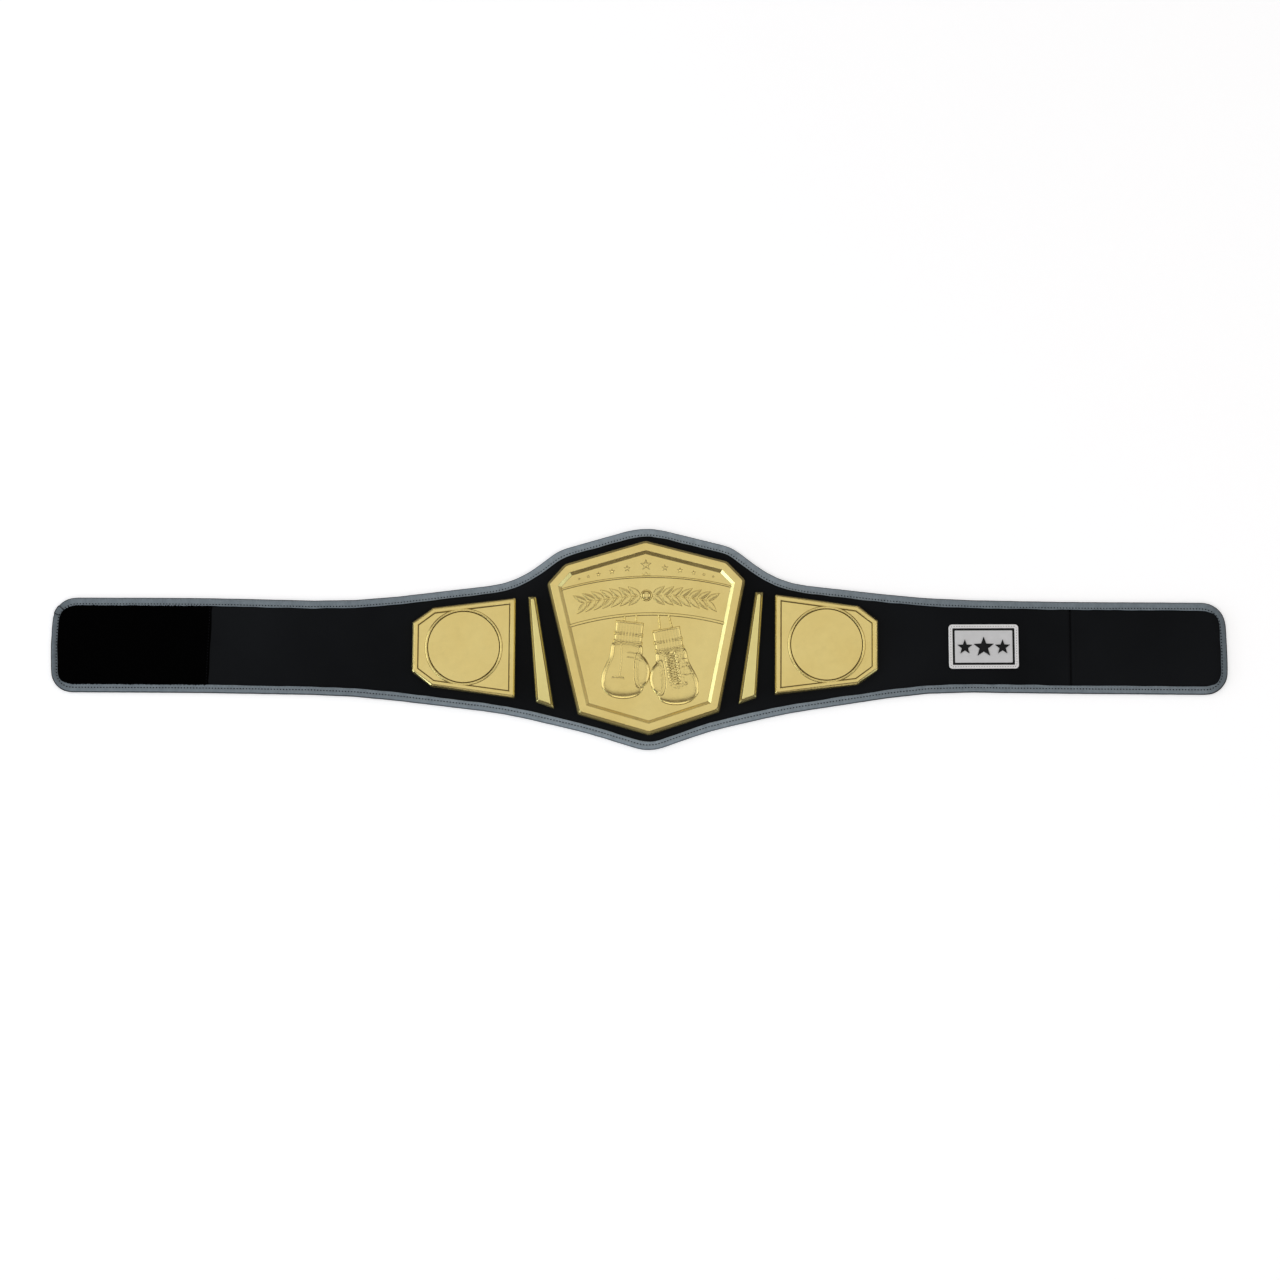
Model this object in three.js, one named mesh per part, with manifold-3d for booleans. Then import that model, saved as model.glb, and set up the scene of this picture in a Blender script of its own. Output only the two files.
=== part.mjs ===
// Championship title belt, laid open on its back: a padded black strap with a grey bound edge, gold
// moulded plates on its front, a sewn label, and a hook and loop fastening at its ends.
// Millimetres. +X runs along the strap to the wearer's left, +Y is up the belt, +Z is out of its front.
// The origin is under the middle of the whole belt, on the surface that it lies on.
import * as THREE from 'three';
import { mergeVertices } from 'three/addons/utils/BufferGeometryUtils.js';
import Module from 'manifold-3d';

const wasm = await Module();
wasm.setup();

// Strap and its bound edge
const LEFT_REACH = 616;           // from the middle of the plates to the strap's left end
const RIGHT_REACH = 603;
const STRAP_HEIGHT = 99;
const FOAM = 4;                   // thickness of the padded strap
const EDGE_FOAM = 2.8;            // its thickness where the binding grips it
const EASE = 3.4;                 // width over which the strap swells from one to the other
const TAPE = 0.9;                 // thickness of the folded binding tape
const BINDING_WIDTH = 8.6;
const FIT_GAP = 0.3;              // between pieces that lie on or in each other
const END_BEND = 15;              // how far the strap's rounded ends begin to bulge from their corners
const CREASE_WIDTH = 2.6;
const CREASE_DEPTH = 1.3;

// Hook and loop fastening
const LOOP_LENGTH = 165;          // of the panels, from the strap's ends
const HOOK_LENGTH = 162.5;
const FASTENER_THICK = 1.5;
const LOOP_PROUD = 0.4;           // how far the loop panel stands out of the strap
const LOOP_SLANT = 5.7;           // by how much the loop panel is longer at its top edge

// Gold plates
const MAIN_LIFT = 8.9;            // middles of the plates above the middle of the strap
const BAR_LIFT = -3.2;
const SIDE_LIFT = 1;
const MAIN_SHIFT = 2.2;           // the main plate lies this far off the middle of the row
const MAIN_WIDTH = 206;
const MAIN_SHOULDER_WIDTH = 168.8;
const MAIN_FOOT_WIDTH = 146.2;
const MAIN_PEAK = 102.5;          // heights from the middle of the main plate
const MAIN_SHOULDER = 79.2;
const MAIN_CORNER = 59.2;
const MAIN_FOOT = -77.6;
const MAIN_POINT = -100.5;
const MAIN_THICK = 10;
const MAIN_WALL = 1;              // how far the side walls lean in
const SMALL_WALL = 0.5;           // the same on the bars and side plates
const MAIN_CHAMFER = 2.2;
const MAIN_RIM = 7.2;
const MAIN_BEVEL = 3.5;           // width of the slope from the rim down to the sunk field
const MAIN_SINK = 3;
const MAIN_TURN_DEG = 1;          // the belt doesn't lie quite straight, so its plates are turned a little
const BAR_HEIGHT = 117;
const BAR_TOP_WIDTH = 8.6;
const BAR_FOOT_WIDTH = 18.9;
const BAR_FOOT_RISE = 6.8;
const BAR_TOP_GAP = 13.2;         // from the main plate's side, at the bar's top and at its lower tip
const BAR_TIP_GAP = 20.4;
const BAR_THICK = 8;
const BAR_CHAMFER = 2.7;
const BAR_SHIFT = 0.9;            // the bars lie this far off the middle of the row
const BAR_TURN_DEG = 0.3;
const BAR_TILT_DEG = 0.9;         // slope of the row from the left bar to the right one
const SIDE_GAP = 12.2;            // from a bar to the side plate
const SIDE_WIDTH = 106.8;
const SIDE_INNER_HEIGHT = 104.8;
const SIDE_KNEE_HEIGHT = 82.4;    // height where the outer corners are cut off
const SIDE_OUTER_HEIGHT = 51.4;
const SIDE_CUT = 20.8;
const SIDE_THICK = 7;
const SIDE_CHAMFER = 1.3;
const SIDE_RIM = 4.1;
const SIDE_STEP = 0.9;
const SIDE_SINK = 1.2;
const RING_WIDTH = 3;             // raised ring round the disc of a side plate
const RING_LAP = 1;               // how far the ring reaches into the rim above and below the disc
const DISC_SINK = 0.7;
const SIDE_TURN_DEG = -0.45;
const SIDE_TILT_DEG = 0.4;        // slope of the row from one side plate to the other

// Relief on the main plate
const RELIEF = 1;                 // height of ribs, leaves and stars over the sunk field
const ROOT = 0.6;                 // how far relief is rooted in the plate
const BANNER_RADIUS = 311;        // middle of the curved band, and its height on the plate
const BANNER_HEIGHT = 44.6;
const BANNER_BAND = 39;           // between the middles of its two ribs
const TOP_RIB = 2.4;
const LOW_RIB = 3.4;
const LEAF_LENGTH = 16.4;
const LEAF_WIDTH = 6.2;
const LEAF_PAIRS = 7;             // on each side of the boss
const LEAF_SPREAD_DEG = 38;
const BOSS_RADIUS = 6.2;
const STAR_RADIUS = 5.6;          // the middle star
const STAR_ROW_HEIGHT = 76.6;
const CREST_WIDTH = 8;
const CREST_HEIGHT = 3.6;
const GLOVE_WIDTH = 46;
const GLOVE_LENGTH = 58;          // from the cuff to the fist
const CUFF_LENGTH = 22;
const CORD_WIDTH = 1.6;
const BAND_WIDTH = 4;             // of the two bands round a cuff
const CUFF_EDGE = 1;              // width of the sloping shoulder round a cuff
const LACE_RUNGS = 5;
const GLOVE_RELIEF = 2.3;

// Sewn label
const LABEL_WIDTH = 72.8;
const LABEL_HEIGHT = 46.8;
const LABEL_RADIUS = 4;
const LABEL_THICK = 1.2;
const LABEL_HEM = 0.3;            // how far the backing shows round the border
const LABEL_BORDER = 4.3;
const LABEL_GROOVE = 2.3;
const LABEL_RELIEF = 0.7;
const LABEL_BOND = 0.1;           // between the label's layers
const LABEL_STAR_RADIUS = 11;     // the middle one
const LABEL_STAR_PITCH = 19.5;
const LABEL_TURN_DEG = 0.2;

// Resolution
const ARC_STEP_DEG = 10;
const DISC_SIDES = 48;
const BOSS_SIDES = 16;

// How the strap lies, one row for each bend: along is a share of the arm's reach, sway and height are
// shares of STRAP_HEIGHT, and soft is how far the bend reaches each way, as a share of STRAP_HEIGHT.
const STRAP_ROWS = [
  { arm: 'left', along: 0.488, sway: -0.008, height: 0.996, soft: 0.44 },
  { arm: 'left', along: 0.745, sway: 0.026, height: 1.004, soft: 0.4 },
  { arm: 'right', along: 0.487, sway: 0.024, height: 0.98, soft: 0.44 },
  { arm: 'right', along: 0.71, sway: 0, height: 0.97, soft: 0.4 },
];
// The strap's ends: cut is how far a corner is drawn in, and round its radius, as shares of STRAP_HEIGHT.
const STRAP_ENDS = {
  left: { side: -1, reach: LEFT_REACH, sway: 0.032, height: 1, topCut: 0.031, lowCut: 0.022,
    topRound: 0.23, lowRound: 0.21 },
  right: { side: 1, reach: RIGHT_REACH, sway: -0.012, height: 0.976, topCut: 0.02, lowCut: 0,
    topRound: 0.3, lowRound: 0.24 },
};
// The strap's edge round the plates: each corner lies out and up from a plate's corner by these shares
// of EDGE_MARGIN, and soft is a share of it too.
const EDGE_MARGIN = 16;
const MARGINS = {
  peak: { out: 0, up: 1.03, soft: 1.3 },
  shoulder: { out: 0.33, up: 0.99, soft: 0.55 },
  leftNeck: { out: 0, up: 0.92, soft: 2 },
  rightNeck: { out: 0.26, up: 0.94, soft: 2 },
  hem: { out: 0.67, up: -1.09, soft: 1.6 },
  foot: { out: -0.66, up: -1.22, soft: 1.2 },
  point: { out: 0, up: -1.1, soft: 0.95 },
};

const AXIS_Z = new THREE.Vector3(0, 0, 1);
const radians = THREE.MathUtils.degToRad;
const point = (x, y) => new THREE.Vector2(x, y);
const turned = (p, middle, degrees) => p.clone().rotateAround(middle, radians(degrees));
const mirrored = (loop) => loop.map((p) => point(-p.x, p.y)).reverse();

// A corner of a loop becomes an arc that reaches soft along both of its sides, or half of the shorter one.
function roundedLoop(corners) {
  const loop = [];
  corners.forEach((corner, i) => {
    const at = point(corner.x, corner.y);
    const before = corners[(i + corners.length - 1) % corners.length];
    const after = corners[(i + 1) % corners.length];
    const back = point(before.x, before.y).sub(at);
    const on = point(after.x, after.y).sub(at);
    const reach = Math.min(corner.soft, back.length() * 0.49, on.length() * 0.49);
    back.normalize();
    on.normalize();
    const turn = Math.PI - Math.acos(THREE.MathUtils.clamp(back.dot(on), -1, 1));
    const steps = Math.max(2, Math.ceil(THREE.MathUtils.radToDeg(turn) / ARC_STEP_DEG));
    const radius = reach / Math.tan(turn / 2);
    const toMiddle = back.clone().add(on).normalize();
    const middle = at.clone().addScaledVector(toMiddle, Math.hypot(radius, reach));
    const start = at.clone().addScaledVector(back, reach).sub(middle);
    const way = Math.sign(on.cross(back)) || 1;
    for (let k = 0; k <= steps; k++) {
      loop.push(start.clone().rotateAround(point(0, 0), (way * turn * k) / steps).add(middle));
    }
  });
  return loop;
}

// The loop drawn in by a distance, corner for corner. Loops run anticlockwise.
function inset(loop, distance) {
  return loop.map((p, i) => {
    const before = p.clone().sub(loop[(i + loop.length - 1) % loop.length]).normalize();
    const after = loop[(i + 1) % loop.length].clone().sub(p).normalize();
    const normal = point(-before.y - after.y, before.x + after.x).normalize();
    const mitre = distance / Math.max(0.2, normal.dot(point(-after.y, after.x)));
    return p.clone().addScaledVector(normal, mitre);
  });
}

// A closed surface through rings of equally many points, from the lowest up, or round a section.
function loft(rings, { joined = false } = {}) {
  const count = rings[0].loop.length;
  const places = rings.flatMap(({ loop, z }) => loop.flatMap((p) => [p.x, p.y, z]));
  const faces = [];
  const last = joined ? rings.length : rings.length - 1;
  for (let r = 0; r < last; r++) {
    const low = r * count;
    const high = ((r + 1) % rings.length) * count;
    for (let i = 0; i < count; i++) {
      const j = (i + 1) % count;
      faces.push(low + i, low + j, high + j, low + i, high + j, high + i);
    }
  }
  if (!joined) {
    const top = (rings.length - 1) * count;
    THREE.ShapeUtils.triangulateShape(rings[0].loop, []).forEach(([a, b, c]) => faces.push(a, c, b));
    THREE.ShapeUtils.triangulateShape(rings.at(-1).loop, [])
      .forEach(([a, b, c]) => faces.push(top + a, top + b, top + c));
  }
  const geometry = new THREE.BufferGeometry();
  geometry.setAttribute('position', new THREE.Float32BufferAttribute(places, 3));
  geometry.setIndex(faces);
  return geometry;
}

const prism = (loop, low, high) => loft([{ loop, z: low }, { loop, z: high }]);

function solidOf(geometry) {
  const bare = geometry.clone();
  bare.deleteAttribute('normal');
  bare.deleteAttribute('uv');
  const merged = mergeVertices(bare, 1e-4);
  return new wasm.Manifold(new wasm.Mesh({
    numProp: 3,
    vertProperties: merged.attributes.position.array,
    triVerts: new Uint32Array(merged.index.array),
  }));
}

function geometryOf(solid) {
  const { vertProperties, triVerts } = solid.getMesh();
  const geometry = new THREE.BufferGeometry();
  geometry.setAttribute('position', new THREE.BufferAttribute(vertProperties, 3));
  geometry.setIndex(new THREE.BufferAttribute(triVerts, 1));
  return geometry;
}

const fused = (geometries) => geometries.map(solidOf).reduce((whole, next) => whole.add(next));

// Materials
const finish = (color, roughness, metalness = 0) =>
  new THREE.MeshStandardMaterial({ color, roughness, metalness });
const FABRIC = finish('#191a1c', 0.85);
const GREY_TAPE = finish('#6a737a', 0.8);
const LOOP_PILE = finish('#050505', 1);
const HOOK_TAPE = finish('#0b0b0c', 0.6);
const GOLD = finish('#d8c07a', 0.3, 1);
const SILVER_RUBBER = finish('#d9d9d9', 0.45);
const BLACK_RUBBER = finish('#0a0a0a', 0.5);

const belt = new THREE.Group();
function addPiece(name, geometry, material, group = belt) {
  const mesh = new THREE.Mesh(geometry, material);
  mesh.name = name;
  group.add(mesh);
}

// Heights of the strap's layers
const halfEdge = EDGE_FOAM / 2;
const channelRadius = halfEdge + FIT_GAP;
const bindingRadius = channelRadius + TAPE;
const strapMiddle = bindingRadius;
const strapTop = strapMiddle + FOAM / 2;
const strapUnder = strapMiddle - FOAM / 2;
const seat = strapTop + FIT_GAP;

// Corners of the plates, on the belt
const mainMiddle = point(MAIN_SHIFT, MAIN_LIFT);
function mainPlateLoop() {
  const right = [
    point(MAIN_FOOT_WIDTH / 2, MAIN_FOOT),
    point(MAIN_WIDTH / 2, MAIN_CORNER),
    point(MAIN_SHOULDER_WIDTH / 2, MAIN_SHOULDER),
  ];
  return [point(0, MAIN_POINT), ...right, point(0, MAIN_PEAK), ...mirrored(right)];
}

// How far the main plate's side is from its middle, at a height over that middle.
function mainSide(height) {
  const share = (height - MAIN_FOOT) / (MAIN_CORNER - MAIN_FOOT);
  return THREE.MathUtils.lerp(MAIN_FOOT_WIDTH, MAIN_WIDTH, share) / 2;
}

function rightBarLoop() {
  const top = BAR_LIFT + BAR_HEIGHT / 2;
  const low = BAR_LIFT - BAR_HEIGHT / 2;
  const tip = mainSide(low - MAIN_LIFT) + BAR_TIP_GAP;
  const inner = mainSide(top - MAIN_LIFT) + BAR_TOP_GAP;
  return [
    point(tip, low),
    point(tip + BAR_FOOT_WIDTH, low + BAR_FOOT_RISE),
    point(inner + BAR_TOP_WIDTH, top),
    point(inner, top),
  ];
}

const sideInner = rightBarLoop()[2].x + SIDE_GAP;
const sideMiddle = point(sideInner + SIDE_WIDTH / 2, SIDE_LIFT);
function sidePlateLoop() {
  const outer = SIDE_WIDTH / 2;
  const half = [
    point(-outer, SIDE_INNER_HEIGHT / 2),
    point(outer - SIDE_CUT, SIDE_KNEE_HEIGHT / 2),
    point(outer, SIDE_OUTER_HEIGHT / 2),
  ];
  return [...half.map((p) => point(p.x, -p.y)), ...half.reverse()];
}

// Strap outline
function edgeCorner(name, x, y, side) {
  const { out, up, soft } = MARGINS[name];
  return { x: side * (x + out * EDGE_MARGIN), y: y + up * EDGE_MARGIN, soft: soft * EDGE_MARGIN };
}

// A corner that keeps its place by the main plate.
function mainCorner(name, x, y, side) {
  const corner = edgeCorner(name, x, y, side);
  const at = turned(point(corner.x, corner.y), point(0, 0), MAIN_TURN_DEG).add(mainMiddle);
  return { x: at.x, y: at.y, soft: corner.soft };
}

// Corners of one edge, top (1) or low (-1), of one arm, from the plates out to the strap's end.
function armEdge(arm, edge) {
  const { side, reach } = STRAP_ENDS[arm];
  const end = STRAP_ENDS[arm];
  const bends = STRAP_ROWS.filter((row) => row.arm === arm).map((row) => ({
    x: side * row.along * reach,
    y: (row.sway + (edge * row.height) / 2) * STRAP_HEIGHT,
    soft: row.soft * STRAP_HEIGHT,
  }));
  const cut = edge > 0 ? end.topCut : end.lowCut;
  const round = edge > 0 ? end.topRound : end.lowRound;
  return [...bends, {
    x: side * (reach - cut * STRAP_HEIGHT),
    y: (end.sway + (edge * end.height) / 2) * STRAP_HEIGHT,
    soft: round * STRAP_HEIGHT,
  }];
}

function strapEnd(arm) {
  const { side, reach, sway } = STRAP_ENDS[arm];
  return { x: side * reach, y: sway * STRAP_HEIGHT, soft: END_BEND };
}

function crownEdge() {
  const neckUp = sideMiddle.y + SIDE_INNER_HEIGHT / 2;
  const shoulderOut = MAIN_SHOULDER_WIDTH / 2;
  return [
    edgeCorner('rightNeck', sideInner, neckUp, 1),
    mainCorner('shoulder', shoulderOut, MAIN_SHOULDER, 1),
    mainCorner('peak', 0, MAIN_PEAK, 1),
    mainCorner('shoulder', shoulderOut, MAIN_SHOULDER, -1),
    edgeCorner('leftNeck', sideInner, neckUp, -1),
  ];
}

function lowerEdge() {
  const hemUp = sideMiddle.y - SIDE_INNER_HEIGHT / 2;
  const footOut = MAIN_FOOT_WIDTH / 2;
  return [
    edgeCorner('hem', sideInner, hemUp, -1),
    mainCorner('foot', footOut, MAIN_FOOT, -1),
    mainCorner('point', 0, MAIN_POINT, 1),
    mainCorner('foot', footOut, MAIN_FOOT, 1),
    edgeCorner('hem', sideInner, hemUp, 1),
  ];
}

const beltEdge = roundedLoop([
  ...armEdge('left', -1).reverse(),
  ...lowerEdge(),
  ...armEdge('right', -1),
  strapEnd('right'),
  ...armEdge('right', 1).reverse(),
  ...crownEdge(),
  ...armEdge('left', 1),
  strapEnd('left'),
]);

// Rings round a bend of the edge, from its underside to its top, at a radius round the strap's middle.
function edgeBend(radius, steps) {
  return Array.from({ length: steps + 1 }, (_, k) => {
    const angle = Math.PI * (k / steps - 0.5);
    return {
      loop: inset(beltEdge, bindingRadius - radius * Math.cos(angle)),
      z: strapMiddle + radius * Math.sin(angle),
    };
  });
}

function strapRings() {
  const gripped = inset(beltEdge, BINDING_WIDTH + FIT_GAP);
  const full = inset(beltEdge, BINDING_WIDTH + FIT_GAP + EASE);
  return [
    { loop: full, z: strapUnder },
    { loop: gripped, z: strapMiddle - halfEdge },
    ...edgeBend(halfEdge, 4),
    { loop: gripped, z: strapMiddle + halfEdge },
    { loop: full, z: strapTop },
  ];
}

function bindingRings() {
  const inner = inset(beltEdge, BINDING_WIDTH);
  return [
    { loop: inner, z: strapMiddle - bindingRadius },
    ...edgeBend(bindingRadius, 6),
    { loop: inner, z: strapMiddle + bindingRadius },
    { loop: inner, z: strapMiddle + channelRadius },
    ...edgeBend(channelRadius, 4).reverse(),
    { loop: inner, z: strapMiddle - channelRadius },
  ];
}

// The block that holds one end of the strap, with its inner face slanted by so much over STRAP_HEIGHT.
function endBlock(arm, length, slant, low, high) {
  const { side, reach } = STRAP_ENDS[arm];
  const near = side * (reach - length);
  const far = side * (reach + STRAP_HEIGHT);
  const loop = [point(near, -STRAP_HEIGHT), point(near - side * slant * 2, STRAP_HEIGHT),
    point(far, STRAP_HEIGHT), point(far, -STRAP_HEIGHT)];
  return prism(side < 0 ? loop : loop.reverse(), low, high);
}

// A fastener panel, or with grow the pocket that it lies in.
function fastener(arm, length, slant, low, high, grow) {
  const whole = prism(inset(beltEdge, BINDING_WIDTH + FIT_GAP - grow / 2), low, high);
  const block = endBlock(arm, length + grow, slant, low - 1, high + 1);
  return solidOf(whole).intersect(solidOf(block));
}

const loopTop = strapTop + LOOP_PROUD;
const loopUnder = loopTop - FASTENER_THICK;
const hookTop = FASTENER_THICK;

function creaseCutter() {
  const x = RIGHT_REACH - HOOK_LENGTH;
  const half = CREASE_WIDTH / 2;
  const section = new THREE.Shape([
    point(x - half, strapTop + FIT_GAP),
    point(x, strapTop - CREASE_DEPTH),
    point(x + half, strapTop + FIT_GAP),
  ]);
  const cutter = new THREE.ExtrudeGeometry(section, { depth: STRAP_HEIGHT * 2, bevelEnabled: false });
  return cutter.translate(0, 0, -STRAP_HEIGHT).rotateX(Math.PI / 2);
}

function strapGeometry() {
  const pocket = fastener('left', LOOP_LENGTH, LOOP_SLANT / 2, loopUnder - FIT_GAP, loopTop + FOAM, FIT_GAP);
  const underPocket = fastener('right', HOOK_LENGTH, 0, -FOAM, hookTop + FIT_GAP, FIT_GAP);
  return geometryOf(solidOf(loft(strapRings()))
    .subtract(pocket)
    .subtract(underPocket)
    .subtract(solidOf(creaseCutter())));
}

addPiece('strap_body', strapGeometry(), FABRIC);
addPiece('edge_binding', loft(bindingRings(), { joined: true }), GREY_TAPE);
const loopPanel = fastener('left', LOOP_LENGTH, LOOP_SLANT / 2, loopUnder, loopTop, 0);
const hookPanel = fastener('right', HOOK_LENGTH, 0, 0, hookTop, 0);
addPiece('loop_panel', geometryOf(loopPanel), LOOP_PILE);
addPiece('hook_panel', geometryOf(hookPanel), HOOK_TAPE);

// A plate: walls that lean in, a chamfer, a flat rim and a slope down to a sunk field.
function plateRings(loop, { thick, wall, chamfer, rim, slope, sink }) {
  const rimEdge = wall + chamfer;
  const rings = [
    { loop, z: 0 },
    { loop: inset(loop, wall), z: thick - chamfer },
    { loop: inset(loop, rimEdge), z: thick },
  ];
  if (rim) {
    rings.push({ loop: inset(loop, rimEdge + rim), z: thick });
    rings.push({ loop: inset(loop, rimEdge + rim + slope), z: thick - sink });
  }
  return rings;
}

// Relief. Every piece of it starts ROOT under the field at fieldZ and is fused to the plate.
const fieldZ = MAIN_THICK - MAIN_SINK;

// A low mound on a loop: straight sides, then a sloping shoulder and a flat top.
function mound(loop, height, shoulder) {
  return loft([
    { loop, z: fieldZ - ROOT },
    { loop, z: fieldZ + height * 0.4 },
    { loop: inset(loop, shoulder), z: fieldZ + height },
  ]);
}

function starLoop(radius, middle, startDegrees = 90) {
  const inner = radius * 0.42;
  return Array.from({ length: 10 }, (_, k) => {
    const angle = radians(startDegrees + k * 36);
    const r = k % 2 ? inner : radius;
    return point(middle.x + r * Math.cos(angle), middle.y + r * Math.sin(angle));
  });
}

// A straight bar from one point to another.
function barLoop(from, to, width) {
  const across = to.clone().sub(from).normalize().multiplyScalar(width / 2);
  const normal = point(-across.y, across.x);
  return [from.clone().sub(normal), to.clone().sub(normal), to.clone().add(normal), from.clone().add(normal)];
}

// A point on an arc of the banner, by its distance along from the middle.
function bannerPoint(along, radius = BANNER_RADIUS) {
  const angle = along / BANNER_RADIUS;
  return point(radius * Math.sin(angle), BANNER_HEIGHT - BANNER_RADIUS + radius * Math.cos(angle));
}

function ribLoop(offset, width) {
  const steps = 20;
  const reach = MAIN_WIDTH / 2;
  const edge = (radius) => Array.from({ length: steps + 1 }, (_, k) =>
    bannerPoint(reach * (2 * k / steps - 1), radius));
  return [...edge(BANNER_RADIUS + offset - width / 2), ...edge(BANNER_RADIUS + offset + width / 2).reverse()];
}

function leafLoop(root, degrees) {
  const half = 4;
  const side = (sign) => Array.from({ length: half }, (_, k) => {
    const share = (k + 0.5) / half;
    return point(LEAF_LENGTH * share, (sign * LEAF_WIDTH / 2) * Math.sin(Math.PI * share ** 0.8));
  });
  const loop = [point(0, 0), ...side(-1), point(LEAF_LENGTH, 0), ...side(1).reverse()];
  return loop.map((p) => p.rotateAround(point(0, 0), radians(degrees)).add(root));
}

// The laurel garland in the banner: pairs of leaves that point out from a round boss.
function garland() {
  const free = mainSide(BANNER_HEIGHT) - MAIN_WALL - MAIN_CHAMFER - MAIN_RIM - MAIN_BEVEL;
  const pitch = (free - BOSS_RADIUS - LEAF_LENGTH) / (LEAF_PAIRS - 1);
  const leaves = [];
  for (const side of [1, -1]) {
    for (let k = 0; k < LEAF_PAIRS; k++) {
      const along = side * (BOSS_RADIUS + k * pitch);
      const heading = -THREE.MathUtils.radToDeg(along / BANNER_RADIUS) + (side < 0 ? 180 : 0);
      for (const spread of [LEAF_SPREAD_DEG, -LEAF_SPREAD_DEG]) {
        leaves.push(mound(leafLoop(bannerPoint(along), heading + spread), RELIEF, LEAF_WIDTH * 0.16));
      }
    }
  }
  const boss = new THREE.CircleGeometry(BOSS_RADIUS, BOSS_SIDES).attributes.position;
  const bossLoop = Array.from({ length: BOSS_SIDES }, (_, k) =>
    point(boss.getX(k + 1), boss.getY(k + 1) + BANNER_HEIGHT));
  return [...leaves, mound(bossLoop, RELIEF * 1.4, BOSS_RADIUS * 0.3)];
}

// The row of stars over the banner: each is smaller than the last and nearer to it.
function starRow() {
  const stars = [mound(starLoop(STAR_RADIUS, point(0, STAR_ROW_HEIGHT)), RELIEF, STAR_RADIUS * 0.12)];
  const steps = [
    { along: 3.5, drop: 0.6, size: 0.62 },
    { along: 6.3, drop: 1.1, size: 0.5 },
    { along: 8.8, drop: 1.6, size: 0.42 },
    { along: 10.7, drop: 2, size: 0.33 },
    { along: 12.4, drop: 2.4, size: 0.27 },
  ];
  for (const { along, drop, size } of steps) {
    for (const side of [1, -1]) {
      const middle = point(side * along * STAR_RADIUS, STAR_ROW_HEIGHT - drop * STAR_RADIUS);
      stars.push(mound(starLoop(STAR_RADIUS * size, middle), RELIEF * 0.8, STAR_RADIUS * size * 0.12));
    }
  }
  return stars;
}

// The small crest of three peaks on the banner, under the middle star.
function crest() {
  const low = BANNER_HEIGHT + (BANNER_BAND + TOP_RIB) / 2 - ROOT;
  const peaks = [[-0.5, 0], [0.5, 0], [0.5, 0.6], [0.25, 0.35], [0, 1], [-0.25, 0.35], [-0.5, 0.6]];
  const loop = peaks.map(([x, y]) => point(x * CREST_WIDTH, low + y * CREST_HEIGHT));
  return mound(loop, RELIEF * 0.8, CREST_HEIGHT * 0.06);
}

// Outlines of a hanging glove, as shares of GLOVE_WIDTH across and GLOVE_LENGTH down from the cuff.
const MITT = [[-0.3, 0], [-0.38, -0.28], [-0.5, -0.6], [-0.46, -0.86], [-0.2, -1], [0.16, -0.99],
  [0.42, -0.86], [0.46, -0.58], [0.37, -0.28], [0.28, 0]];
const THUMB = [[0.22, -0.2], [0.42, -0.24], [0.56, -0.44], [0.53, -0.68], [0.36, -0.78], [0.24, -0.62]];

function smoothLoop(rows, side, count) {
  const curve = new THREE.CatmullRomCurve3(
    rows.map(([x, y]) => new THREE.Vector3(side * x * GLOVE_WIDTH, y * GLOVE_LENGTH, 0)), true);
  const loop = Array.from({ length: count }, (_, k) => curve.getPointAt(k / count)).map((p) => point(p.x, p.y));
  return THREE.ShapeUtils.area(loop) < 0 ? loop.reverse() : loop;
}

// A soft swelling on a loop, rounded over in three rings.
function swelling(loop, height, width) {
  return loft([
    { loop, z: fieldZ - ROOT },
    { loop, z: fieldZ + height * 0.35 },
    { loop: inset(loop, width * 0.05), z: fieldZ + height * 0.75 },
    { loop: inset(loop, width * 0.14), z: fieldZ + height },
  ]);
}

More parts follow.
